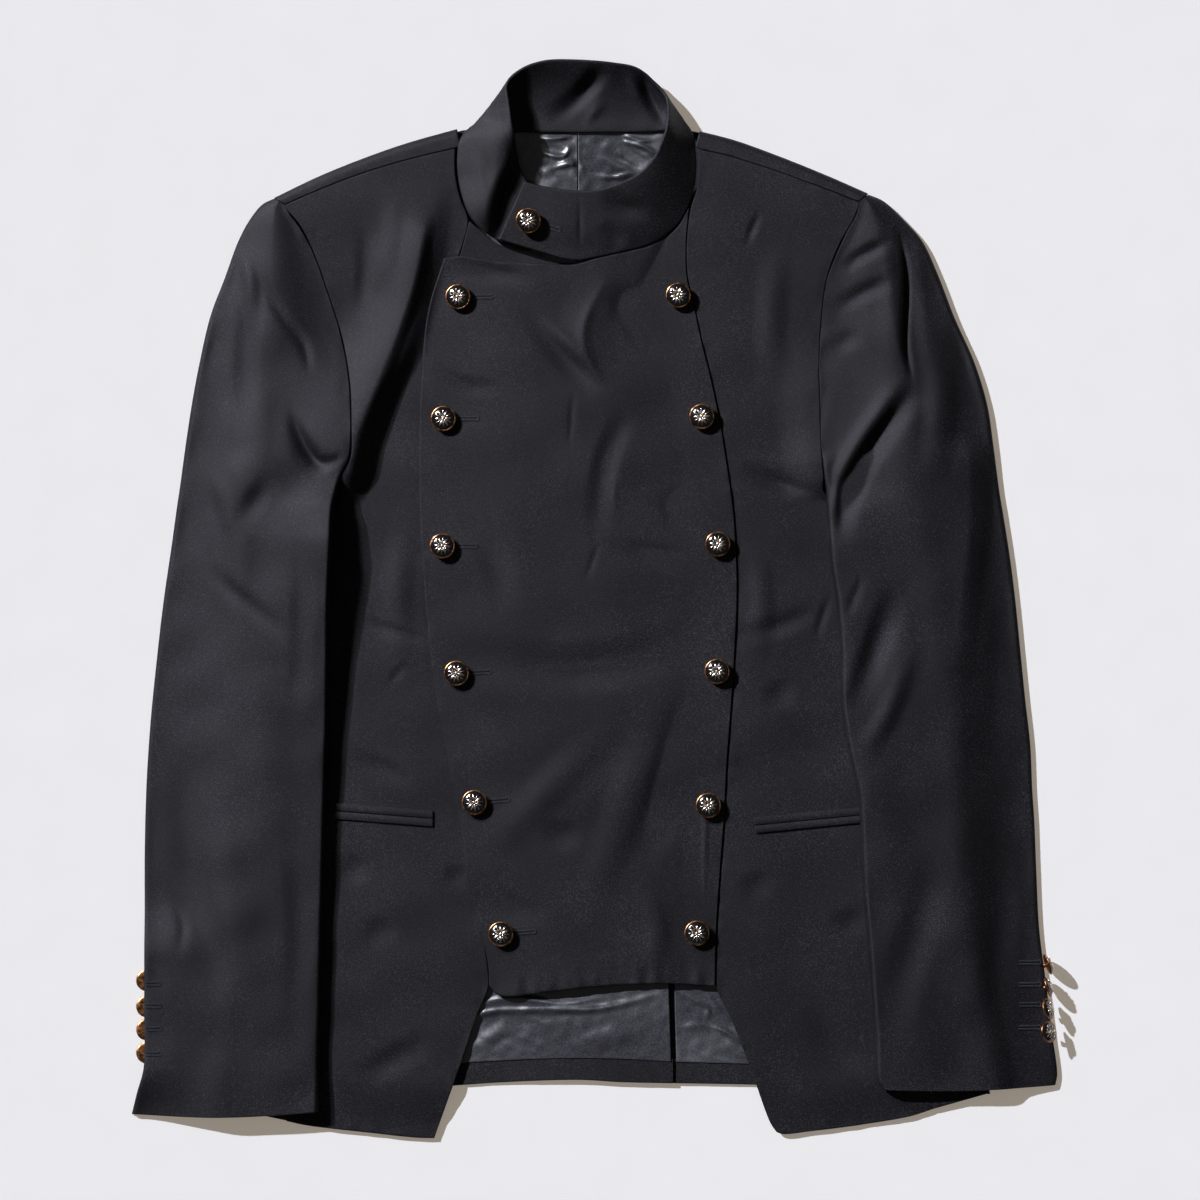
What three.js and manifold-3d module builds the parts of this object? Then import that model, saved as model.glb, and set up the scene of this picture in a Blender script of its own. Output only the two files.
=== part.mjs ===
// A double-breasted military jacket with a stand collar, laid on its back and buttoned.
// Millimetres, +Z up, hem towards -Y. The wearer's right side lies at -X.
// Every cloth piece is a closed wall: an outer face worked out from edges or rows, and an
// inner face one wall thickness behind it.
import * as THREE from 'three';
import { mergeVertices } from 'three/addons/utils/BufferGeometryUtils.js';
import Module from 'manifold-3d';

const wasm = await Module();
wasm.setup();

// Driving dimensions
const ORIGIN_X = 0.35;
const ORIGIN_Y = 0.3;
const BACK_WALL = 1.4;
const FRONT_WALL = 1.6;
const PLASTRON_WALL = 2.2;
const SLEEVE_WALL = 2.0;
const COLLAR_WALL = 2.2;
const LINING_WALL = 1.0;
const WELT_WALL = 0.9;
const SEAM_GAP = 0.3;
const RIM_GAP = 0.7;
const LINING_GAP = 0.5;
const SIDE_FOLD_HEIGHT = 5.6;
const SHOULDER_HEIGHT = 11;
const SEAM_HEIGHT_LEFT = 7;
const SEAM_RISE_RIGHT = 0.6;
const SHOULDER_FALL = 110;
const PLASTRON_STEP = 2.75;
const PLASTRON_CROWN = 2.6;
const SLEEVE_SUPPORT = 7.2;
const SUPPORT_SHELF = 3;
const SUPPORT_RAMP = 19;
const SLEEVE_FOLD_INSET = 3.5;
const SLEEVE_CLEARANCE = 1.4;
const SLEEVE_RIM_ANGLE = 38;
const SLEEVE_COLUMNS = 8;
const HEM_BOW_START = 0.9;
const RIGHT_HEM_BOW = 3;
const LEFT_HEM_BOW = 2;
const VENT_LIFT = 1.8;
const VENT_OVERLAP = 90;
const VENT_RAMP = 55;
const VENT_RISE_LENGTH = 45;
const LEAST_CLEARANCE = 0.1;
const FRONT_BUTTON_DIAMETER = 17.8;
const CUFF_BUTTON_DIAMETER = 15.2;
const BUTTON_HEIGHT_RATIO = 0.37;
const BUTTON_GAP = 0.6;

// Colours and finishes
const CLOTH_COLOUR = 0x2a2930;
const LINING_COLOUR = 0x4a4b57;
const METAL_COLOUR = 0xb9763f;

const jacket = new THREE.Group();

// Plain helpers
const clamp = (value, low, high) => Math.min(high, Math.max(low, value));
const mix = (a, b, t) => a + (b - a) * t;

function smooth(value) {
  const t = clamp(value, 0, 1);
  return t * t * (3 - 2 * t);
}

function bump(distance) {
  return distance < 1 ? 0.5 * (1 + Math.cos(Math.PI * distance)) : 0;
}

// The x of an edge, a list of [x, y] that runs down the garment, at one y
function edgeAt(edge, y) {
  if (y >= edge[0][1]) return edge[0][0];
  for (let i = 1; i < edge.length; i += 1) {
    const [upperX, upperY] = edge[i - 1];
    const [lowerX, lowerY] = edge[i];
    if (y >= lowerY) return mix(lowerX, upperX, (y - lowerY) / (upperY - lowerY));
  }
  return edge[edge.length - 1][0];
}

// Height that folds add at a place. A fold is a crest, a list of [x, y, height] that runs
// from the shoulders towards the hem, and its reach to the east and to the west.
function foldsAt(folds, x, y) {
  let total = 0;
  for (const { crest, east, west } of folds) {
    let nearest = Infinity;
    let added = 0;
    for (let i = 1; i < crest.length; i += 1) {
      const [startX, startY, startHeight] = crest[i - 1];
      const [endX, endY, endHeight] = crest[i];
      const runX = endX - startX;
      const runY = endY - startY;
      const along = clamp(
        ((x - startX) * runX + (y - startY) * runY) / (runX * runX + runY * runY), 0, 1);
      const offX = x - startX - along * runX;
      const offY = y - startY - along * runY;
      const distance = Math.hypot(offX, offY);
      if (distance < nearest) {
        nearest = distance;
        const reach = runX * offY - runY * offX > 0 ? east : west;
        added = mix(startHeight, endHeight, along) * bump(distance / reach);
      }
    }
    total += added;
  }
  return total;
}

function curve(points) {
  const vectors = points.map(([x, y, z = 0]) => new THREE.Vector3(x, y, z));
  return new THREE.CatmullRomCurve3(vectors, false, 'centripetal');
}

// A grid of places that fills four edges. Left and right run down, top and bottom run
// from left to right, and they share their corners.
function fillEdges({ left, right, top, bottom }, columns, rows) {
  const [leftCurve, rightCurve, topCurve, bottomCurve] = [left, right, top, bottom].map(curve);
  const topLeft = leftCurve.getPoint(0);
  const topRight = rightCurve.getPoint(0);
  const bottomLeft = leftCurve.getPoint(1);
  const bottomRight = rightCurve.getPoint(1);
  const grid = [];
  for (let i = 0; i <= rows; i += 1) {
    const v = i / rows;
    const onLeft = leftCurve.getPointAt(v);
    const onRight = rightCurve.getPointAt(v);
    const row = [];
    for (let j = 0; j <= columns; j += 1) {
      const u = j / columns;
      const onTop = topCurve.getPointAt(u);
      const onBottom = bottomCurve.getPointAt(u);
      const blend = (axis) =>
        mix(onTop[axis], onBottom[axis], v) + mix(onLeft[axis], onRight[axis], u)
        - mix(mix(topLeft[axis], topRight[axis], u), mix(bottomLeft[axis], bottomRight[axis], u), v);
      row.push(new THREE.Vector3(blend('x'), blend('y'), 0));
    }
    grid.push(row);
  }
  return grid;
}

function raise(grid, height) {
  for (const row of grid) {
    for (const place of row) place.z = height(place.x, place.y);
  }
  return grid;
}

function gridNormal(grid, i, j) {
  const row = grid[i];
  const across = row[Math.min(j + 1, row.length - 1)].clone().sub(row[Math.max(j - 1, 0)]);
  const upper = grid[Math.max(i - 1, 0)][j];
  const lower = grid[Math.min(i + 1, grid.length - 1)][j];
  return lower.clone().sub(upper).cross(across).normalize();
}

// A closed wall behind a grid of outer points whose rows run down and whose columns run
// from left to right. The inner face lies square to the outer one, or straight below it
// where the wall is plumb. Edges that face up drop plumb, so that neighbours keep their gap.
function wallGeometry(grid, thickness, kind = 'square') {
  const rows = grid.length;
  const columns = grid[0].length;
  const outer = [];
  const inner = [];
  const lift = kind === 'centred' ? thickness / 2 : 0;
  for (let i = 0; i < rows; i += 1) {
    for (let j = 0; j < columns; j += 1) {
      const normal = gridNormal(grid, i, j);
      const atEdge = i === 0 || j === 0 || i === rows - 1 || j === columns - 1;
      if (kind === 'plumb') {
        normal.set(0, 0, 1);
      } else if (kind === 'square' && atEdge && normal.z > 0.5) {
        normal.set(0, 0, Math.min(1.4, 1 / normal.z));
      }
      outer.push(grid[i][j].clone().addScaledVector(normal, lift));
      inner.push(grid[i][j].clone().addScaledVector(normal, lift - thickness));
    }
  }
  const points = outer.concat(inner);
  const behind = outer.length;
  const faces = [];
  const quad = (a, b, c, d) => faces.push(a, b, c, a, c, d);
  for (let i = 1; i < rows; i += 1) {
    for (let j = 1; j < columns; j += 1) {
      const a = (i - 1) * columns + j - 1;
      const b = a + 1;
      const c = a + columns;
      const d = c + 1;
      quad(a, c, d, b);
      quad(behind + a, behind + b, behind + d, behind + c);
    }
  }
  const rim = [];
  for (let j = 0; j < columns - 1; j += 1) rim.push(j);
  for (let i = 0; i < rows - 1; i += 1) rim.push(i * columns + columns - 1);
  for (let j = columns - 1; j > 0; j -= 1) rim.push((rows - 1) * columns + j);
  for (let i = rows - 1; i > 0; i -= 1) rim.push(i * columns);
  rim.forEach((a, index) => {
    const b = rim[(index + 1) % rim.length];
    quad(a, b, behind + b, behind + a);
  });
  const geometry = new THREE.BufferGeometry();
  geometry.setAttribute('position', new THREE.Float32BufferAttribute(
    points.flatMap((point) => [point.x, point.y, point.z]), 3));
  geometry.setIndex(faces);
  return geometry;
}

function addPiece(name, geometry, colour, roughness = 0.9, metalness = 0) {
  const plain = geometry.clone();
  plain.computeVertexNormals();
  const material = new THREE.MeshStandardMaterial({ color: colour, roughness, metalness });
  const mesh = new THREE.Mesh(plain, material);
  mesh.name = name;
  jacket.add(mesh);
  return mesh;
}

function toSolid(geometry) {
  const bare = geometry.clone();
  bare.deleteAttribute('normal');
  bare.deleteAttribute('uv');
  const merged = mergeVertices(bare, 1e-4);
  return new wasm.Manifold(new wasm.Mesh({
    numProp: 3,
    vertProperties: new Float32Array(merged.attributes.position.array),
    triVerts: new Uint32Array(merged.index.array),
  }));
}

function fromSolid(solid) {
  const mesh = solid.getMesh();
  const geometry = new THREE.BufferGeometry();
  geometry.setAttribute('position', new THREE.BufferAttribute(mesh.vertProperties, 3));
  geometry.setIndex(new THREE.BufferAttribute(mesh.triVerts, 1));
  return geometry;
}

// Front heights: the front lies over the back, higher at the shoulders and the plastron
const RIGHT_SHOULDER = { x: -217.7, y: 276.5, normalX: -0.311, normalY: 0.95 };
const LEFT_SHOULDER = { x: 73.2, y: 315.7, normalX: 0.313, normalY: 0.95 };

const RIGHT_FRONT_FOLDS = [
  {
    crest: [[-112, 293, 0], [-118, 252, 4], [-136, 178, 8], [-153, 147, 11], [-166, 117, 14],
      [-170, 98, 14], [-174, 84, 10], [-178, 70, 0]],
    east: 18,
    west: 48,
  },
];

const LEFT_FRONT_FOLDS = [
  { crest: [[158, 190, 0], [159, 134, 3], [162, 87, 4.5], [163, 70, 0]], east: 30, west: 34 },
  { crest: [[99, 92, 0], [130, 82, -1.4], [158, 84, 0]], east: 14, west: 14 },
];

function shoulderRise(base, shoulder, x, y) {
  const below = -((x - shoulder.x) * shoulder.normalX + (y - shoulder.y) * shoulder.normalY);
  return (SHOULDER_HEIGHT - base) * smooth(1 - below / SHOULDER_FALL);
}

// The right front rises a little towards the plastron, between these two places in x
const RIGHT_RISE = { start: -200, end: -120 };

function rightFrontTop(x, y) {
  const across = smooth((x - RIGHT_RISE.start) / (RIGHT_RISE.end - RIGHT_RISE.start));
  const base = SIDE_FOLD_HEIGHT + SEAM_RISE_RIGHT * across;
  return base + shoulderRise(base, RIGHT_SHOULDER, x, y) + foldsAt(RIGHT_FRONT_FOLDS, x, y);
}

const PLASTRON_RIGHT_SEAM = [
  [66.5, 275], [64.4, 249.9], [65.1, 226.1], [69.3, 208.6], [74.9, 182.7], [81.9, 154.7],
  [88.2, 124.6], [93.1, 94.5], [97.3, 64.4], [99.4, 34.3], [100.1, 4.2], [98.4, -36.4],
  [96.3, -70], [93.1, -112], [91, -153.3], [87.9, -193.9], [85.4, -235.2], [84.7, -270.9],
];

const LEFT_FALL = 90;

function leftFrontTop(x, y) {
  const fromSeam = (x - edgeAt(PLASTRON_RIGHT_SEAM, y)) / LEFT_FALL;
  const base = mix(SEAM_HEIGHT_LEFT, SIDE_FOLD_HEIGHT, smooth(fromSeam));
  return base + shoulderRise(base, LEFT_SHOULDER, x, y) + foldsAt(LEFT_FRONT_FOLDS, x, y);
}

// Back panels, flat on the surface, with a shoulder strip that folds over to the front
const CENTRE_TOP = [-11.2, 329.3];
const CENTRE_HEM = [18.2, -338];
const CENTRE_LINE = [CENTRE_TOP, CENTRE_HEM];
const VENT_TOP = -125;

// The vent's right half climbs over its left half beside the centre line
function ventLift(x, y) {
  const overCentre = smooth((x - edgeAt(CENTRE_LINE, y) + VENT_OVERLAP) / VENT_RAMP);
  return VENT_LIFT * overCentre * smooth((VENT_TOP - y) / VENT_RISE_LENGTH + 1);
}

const RIGHT_BACK_EDGES = {
  left: [[-214, 276], [-202.3, 238], [-191.8, 196], [-188.3, 154], [-195.3, 112],
    [-203.7, 85.4], [-206, 70], [-203.3, 50], [-198.6, 28], [-188.3, -35], [-183.4, -98],
    [-183.4, -154], [-184.8, -210], [-186.2, -266], [-184.8, -348.6]],
  right: [CENTRE_TOP, [-2.7, 122], [5.9, -70], [8, -128], [24, -150], [46, -166], [52, -200],
    [53.2, -270], [55.3, -338.8]],
  top: [[-214, 276], [-172, 296], [-130, 311.5], [-104, 320], [-86, 329], [-60, 329.3],
    CENTRE_TOP],
  bottom: [[-184.8, -348.6], [-142.8, -343.7], [-98, -340.5], [-62.3, -338.1], [-10.5, -336.4],
    [18.2, -338], [55.3, -338.8]],
};

const LEFT_BACK_EDGES = {
  left: [[-10.7, 329.3], [2.5, 30], [18.6, -338]],
  right: [[182, 277], [171, 238], [160, 196], [158, 154], [162, 112], [172, 89], [190, 74],
    [206, 66.5], [218, 60], [219, 46], [216.7, 17.5], [207, -36.4], [202.2, -94.5], [202.2, -153.3],
    [203.7, -210], [205.1, -262.5], [205.1, -343]],
  top: [[-10.7, 329.3], [60, 329], [78, 321], [100, 314], [131, 303], [160, 291], [182, 277]],
  bottom: [[18.6, -338], [56, -338.8], [113.4, -339.9], [205.1, -343]],
};

// Silhouette and front seam of each shoulder, from left to right, as [x, y] pairs
const RIGHT_SHOULDER_STRIP = {
  fold: [[-224, 281.8], [-193.5, 296.5], [-161.5, 309.5], [-130.5, 320.3], [-100, 328.5]],
  seam: [[-217.4, 277.2], [-187.4, 290.1], [-156.6, 301.3], [-126.5, 310.1], [-97, 317]],
};
const LEFT_SHOULDER_STRIP = {
  fold: [[78, 327], [98, 322.3], [129.5, 311], [163.5, 297.3], [192, 284.8]],
  seam: [[73.6, 316.4], [94.8, 311.5], [125.6, 301.7], [160.6, 289.1], [186.3, 279.2]],
};

function shoulderStrip({ fold, seam }) {
  const stations = 7;
  const arcSteps = 5;
  const tuck = 9;
  const wall = BACK_WALL - 0.2;
  const radius = (SHOULDER_HEIGHT - LEAST_CLEARANCE) / 2;
  const foldCurve = curve(fold);
  const seamCurve = curve(seam);
  const rows = [];
  const place = (distance, z) => {
    const row = [];
    for (let j = 0; j <= stations; j += 1) {
      const edge = foldCurve.getPoint(j / stations);
      const inward = seamCurve.getPoint(j / stations).sub(edge).normalize();
      const point = edge.addScaledVector(inward, distance);
      row.push(new THREE.Vector3(point.x, point.y, z));
    }
    rows.push(row);
  };
  place(radius + tuck, LEAST_CLEARANCE);
  for (let k = 0; k <= arcSteps; k += 1) {
    const angle = (Math.PI * k) / arcSteps;
    place(radius * (1 - Math.sin(angle)), LEAST_CLEARANCE + radius * (1 - Math.cos(angle)));
  }
  rows.push(seamCurve.getPoints(stations).map(
    (point) => new THREE.Vector3(point.x, point.y, SHOULDER_HEIGHT)));
  return wallGeometry(rows, wall);
}

function buildBack(name, edges, columns, lift, strip) {
  const rows = 18;
  const panel = raise(fillEdges(edges, columns, rows), (x, y) => BACK_WALL + lift(x, y));
  const solid = toSolid(wallGeometry(panel, BACK_WALL, 'plumb')).add(toSolid(shoulderStrip(strip)));
  addPiece(name, fromSolid(solid), CLOTH_COLOUR);
}

// Side bodies: a strip round each side fold, from the back seam to the front seam
const RIGHT_SIDE = [
  { y: 52, front: -219.2, fold: -240.4, back: -205 },
  { y: 28, front: -217.4, fold: -236.6, back: -199.2 },
  { y: -35, front: -211.8, fold: -228.2, back: -188.7 },
  { y: -98, front: -207.6, fold: -223.3, back: -183.8 },
  { y: -154, front: -206.2, fold: -225.4, back: -183.8 },
  { y: -210, front: -209, fold: -232.4, back: -185.2 },
  { y: -266, front: -213.2, fold: -242.2, back: -186.6 },
  { y: -322, front: -214.9, fold: -250, back: -185.6 },
  { y: -365, front: -216, fold: -256.2, back: -185.2, foldY: -357, backY: -348.8 },
];
const LEFT_SIDE = [
  { y: 57, front: 239.6, fold: 259.3, back: 223.6 },
  { y: 17.5, front: 234.6, fold: 254.8, back: 218.1 },
  { y: -36.4, front: 227.2, fold: 246.4, back: 207.6 },
  { y: -94.5, front: 225.8, fold: 242.2, back: 202.7 },
  { y: -153.3, front: 227.2, fold: 245, back: 202.7 },
  { y: -210, front: 230, fold: 252, back: 204.1 },
  { y: -262.5, front: 232.8, fold: 260.4, back: 205.5 },
  { y: -323.4, front: 235.6, fold: 272.3, back: 206.2 },
  { y: -357, front: 237.7, fold: 277.9, back: 205.5, foldY: -346.2, backY: -343.2 },
];

function buildSide(name, table, mirrored) {
  const radius = SIDE_FOLD_HEIGHT / 2;
  const arcSteps = 3;
  const columnCurves = ['front', 'fold', 'back'].map((edge) => curve(table.map((row) => {
    const y = edge === 'front' ? row.y : row[`${edge}Y`] ?? row.y;
    return [row[edge], y, 0];
  })));
  const rows = Math.round(1.5 * (table.length - 1));
  const grid = [];
  for (let i = 0; i <= rows; i += 1) {
    const [front, fold, back] = columnCurves.map((line) => line.getPoint(i / rows));
    const outward = Math.sign(fold.x - front.x);
    const row = [back.clone()];
    for (let k = 0; k <= arcSteps; k += 1) {
      const angle = (Math.PI * k) / arcSteps;
      const x = fold.x - outward * radius * (1 - Math.sin(angle));
      row.push(new THREE.Vector3(x, fold.y, radius * (1 - Math.cos(angle))));
    }
    row.push(new THREE.Vector3(front.x, front.y, SIDE_FOLD_HEIGHT));
    grid.push(mirrored ? row.reverse() : row);
  }
  addPiece(name, wallGeometry(grid, BACK_WALL), CLOTH_COLOUR);
}

// Fronts and the hidden right plastron that the left one covers
const RIGHT_FRONT_EDGES = {
  left: [[-217.5, 276], [-205.8, 262.5], [-196, 242.9], [-186.2, 215.6], [-176.4, 184.1],
    [-170.8, 152.6], [-169.4, 122.5], [-170.1, 99.4], [-176.8, 84.6], [-179, 72], [-181, 63],
    [-196, 60], [-212, 55], [-216.2, 44], [-217, 28], [-211.4, -35], [-207.2, -98],
    [-205.8, -154], [-208.6, -210], [-212.8, -266], [-214.5, -322], [-215.6, -365.4]],
  right: [[-97.4, 316], [-97.3, 299.6], [-93.9, 282.1], [-88.3, 266.2], [-94.5, 241.5],
    [-102, 217], [-110.3, 182], [-115.2, 126], [-116.4, 84], [-116.4, 28], [-114.1, 4.2],
    [-110.6, -35], [-104.3, -70], [-97.3, -112], [-91, -147], [-84, -193.9], [-73.8, -266],
    [-74.6, -273], [-82.6, -292.6], [-92.4, -322], [-112, -377.3]],
  top: [[-217.5, 276], [-187.5, 289], [-156.8, 300.2], [-126.7, 309], [-97.4, 316]],
  bottom: [[-215.6, -365.4], [-202.3, -368.2], [-154.7, -373.8], [-124, -377], [-112, -377.3]],
};
const UNDERLAP_EDGES = {
  left: [[-87.2, 265.5], [-93.7, 241.5], [-101.2, 217], [-109.5, 182], [-114.4, 126],
    [-115.6, 63], [-113.6, 4], [-109.8, -35], [-103.5, -70], [-96.5, -112], [-83.2, -194],
    [-72.8, -266]],
  right: [[5.6, 235.5], [46.2, 210], [74.2, 126], [82.6, 63], [84, 4.2], [79.8, -70],
    [77, -112], [72.8, -193.9], [70, -262.5]],
  top: [[-87.2, 265.5], [-67.2, 249.6], [-44.8, 241], [-26.6, 236.6], [5.6, 235.5]],
  bottom: [[-72.8, -266], [-2, -264], [70, -262.5]],
};
const LEFT_FRONT_EDGES = {
  left: [[73.4, 315.5], [73, 302.4], [72.3, 288.4], [67.9, 274.4], [65.1, 249.9], [65.8, 226],
    [70, 208.6], [75.6, 182.7], [82.6, 154.7], [88.9, 124.6], [93.8, 94.5], [98, 64.4],
    [100.1, 34.3], [100.8, 4.2], [99.1, -36.4], [97, -70], [93.8, -112], [91.9, -153.3],
    [88.9, -193.9], [86.5, -235.2], [85.9, -271], [96.6, -294.7], [109.2, -326.9],
    [127.4, -374.5]],
  right: [[185.9, 278.3], [182.7, 268.8], [170.8, 247.1], [162.4, 222.6], [158.9, 193.9],
    [157.5, 165.2], [158.2, 134.4], [158.9, 107.8], [160.6, 87], [161, 75.5], [174, 71],
    [206, 66], [232, 61], [236.6, 48], [233.8, 17.5], [226.8, -36.4], [225.4, -94.5],
    [226.8, -153.3], [229.6, -210], [232.4, -262.5], [234.2, -294.7], [235.2, -323.4],
    [237.3, -357]],
  top: [[73.4, 315.5], [94.6, 310.7], [125.3, 301], [160.3, 288.3], [185.9, 278.3]],
  bottom: [[127.4, -374.5], [152.6, -372.4], [187.6, -367.9], [221.9, -361.9], [237.3, -357]],
};

const HIDDEN_EDGE_HEIGHT = 5.4;
const SEAM_SHELF = 12;

function underlapTop(x, y) {
  const start = edgeAt(UNDERLAP_EDGES.left, y) + SEAM_SHELF;
  const end = edgeAt(UNDERLAP_EDGES.right, y);
  const across = smooth((x - start) / (end - start));
  return mix(rightFrontTop(x, y), HIDDEN_EDGE_HEIGHT, across);
}

// The left plastron, the double front that buttons over to the wearer's right
const PLASTRON_EDGES = {
  left: [[-105, 239.4], [-115.5, 205.1], [-119.7, 175], [-122.2, 124.6], [-122.5, 84],
    [-120.4, 28], [-116.9, -16.1], [-110.6, -70], [-102.2, -112], [-95.9, -147],
    [-88.9, -187.6], [-80.5, -226.8], [-74.2, -255.5], [-73.5, -270.2]],
  right: PLASTRON_RIGHT_SEAM,
  top: [[-105, 239.4], [-91.7, 240.8], [-69.3, 237.3], [-42, 236], [-14, 235], [2.1, 239.5],
    [21, 243.7], [40.6, 248.8], [57.4, 260], [66.5, 275]],
  bottom: [[-73.5, -270.2], [-66.2, -277.2], [-31.5, -274.4], [-0.7, -270.9], [51.1, -268.8],
    [84.7, -270.9]],
};

const PLASTRON_FOLDS = [
  {
    crest: [[66, 270, -1], [62, 240, -3], [50, 215, -3], [38, 190, -2], [28, 175, 0]],
    east: 20,
    west: 26,
  },
  { crest: [[14, 232, 0], [-6, 190, 1.5], [5, 152, 0]], east: 22, west: 22 },
  { crest: [[-106, -38, 0], [-10, -48, -2.2], [76, -30, 0]], east: 22, west: 22 },
  { crest: [[68, -64, 0], [48, -142, -2], [30, -190, 0]], east: 18, west: 18 },
  { crest: [[50, -58, 0], [16, -160, 1.2], [-6, -220, 0]], east: 18, west: 18 },
];

// The plastron copies the folds of the right front as far as this from its own edge
const OVERLAP_COPY = 30;

function plastronTop(x, y) {
  const start = edgeAt(PLASTRON_EDGES.left, y);
  const end = edgeAt(PLASTRON_EDGES.right, y);
  const across = clamp((x - start) / (end - start), 0, 1);
  const overlapped = rightFrontTop(Math.min(x, start + OVERLAP_COPY), y) + PLASTRON_STEP;
  const flush = leftFrontTop(Math.max(x, end), y);
  const crown = PLASTRON_CROWN * Math.sin(Math.PI * across);
  const height = mix(overlapped, flush, smooth(across)) + crown + foldsAt(PLASTRON_FOLDS, x, y);
  return Math.max(height, underlapTop(x, y) + PLASTRON_STEP + LEAST_CLEARANCE);
}

function buildFronts() {
  addPiece('front_right', wallGeometry(
    raise(fillEdges(RIGHT_FRONT_EDGES, 11, 26), rightFrontTop), FRONT_WALL), CLOTH_COLOUR);
  addPiece('underlap_right', wallGeometry(
    raise(fillEdges(UNDERLAP_EDGES, 6, 12), underlapTop), FRONT_WALL), CLOTH_COLOUR);
  addPiece('front_left', wallGeometry(
    raise(fillEdges(LEFT_FRONT_EDGES, 8, 28), leftFrontTop), FRONT_WALL), CLOTH_COLOUR);
  addPiece('plastron_left', wallGeometry(
    raise(fillEdges(PLASTRON_EDGES, 10, 22), plastronTop), PLASTRON_WALL), CLOTH_COLOUR);
}

// Sleeves. Each row runs from the inner to the outer edge, with the height of the upper face
// above its support near the inner edge, in the middle and near the outer edge. A row with
// seam true joins the front at the armhole, and the others fold down onto the under sleeve.
// Where the under sleeve's inner edge lies elsewhere, under gives it.
const RIGHT_SLEEVE = [
  { inner: [-218.6, 274.6], outer: [-225.2, 280], seam: true, middle: 11, edge: 11 },
  { inner: [-213.4, 269.6], outer: [-232.4, 277.4], under: [-218, 268],
    seam: true, middle: 12, edge: 10 },
  { inner: [-206, 259.5], outer: [-240.8, 267.4], under: [-212.2, 257],
    seam: true, middle: 13, edge: 9.5 },
  { inner: [-197.2, 242.9], outer: [-249.2, 252], under: [-205, 241],
    seam: true, middle: 13, edge: 9 },
  { inner: [-187.8, 217], outer: [-259, 225.4], under: [-198.6, 217],
    seam: true, middle: 13, edge: 9 },
  { inner: [-179, 189], outer: [-268.8, 199.5], under: [-192.8, 189],
    seam: true, middle: 13, edge: 9 },
  { inner: [-172.9, 159.6], outer: [-276.5, 166.6], under: [-190.2, 159.6],
    seam: true, middle: 13.5, edge: 9 },
  { inner: [-170.8, 129.5], outer: [-282.1, 136.5], under: [-193.8, 129.5],
    seam: true, middle: 14, edge: 9 },
  { inner: [-171.8, 101.5], outer: [-287, 103.6], under: [-200.6, 103],
    seam: true, middle: 14, edge: 8.5 },
  { inner: [-177.6, 84], outer: [-290.2, 80], under: [-193, 86],
    seam: true, middle: 10, edge: 8 },
  { inner: [-180.8, 65], outer: [-293, 61], under: [-190, 66], near: 12, middle: 9, edge: 8 },
  { inner: [-182, 42], outer: [-296.1, 38.5], near: 12, middle: 9, edge: 8 },
  { inner: [-184.1, 0], outer: [-301.7, 0], near: 9, middle: 8.5, edge: 7.8 },
  { inner: [-184.8, -42], outer: [-306.6, -42], near: 8, middle: 8, edge: 7.6 },
  { inner: [-185.5, -84], outer: [-310.8, -84], near: 7.4, middle: 7.8, edge: 7.4 },
  { inner: [-186.9, -126], outer: [-313.6, -126], near: 6.8, middle: 7.6, edge: 7.2 },
  { inner: [-188.3, -175], outer: [-315, -175], near: 6.6, middle: 7.4, edge: 7 },
  { inner: [-189.7, -224], outer: [-315, -224], near: 6.6, middle: 7.2, edge: 7 },
  { inner: [-190.3, -250], outer: [-315, -250], near: 6.6, middle: 7.2, edge: 7 },
  { inner: [-191.1, -287], outer: [-315, -287], near: 6.6, middle: 7.2, edge: 7 },
  { inner: [-192.2, -323.4], outer: [-315.4, -327.6], near: 6.6, middle: 7.2, edge: 7 },
  { inner: [-192.5, -343], outer: [-320.2, -345.1], near: 6.6, middle: 7.2, edge: 7 },
  { inner: [-192.6, -358.1], outer: [-324.1, -360.5], near: 6.6, middle: 7.2, edge: 7 },
];
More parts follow.
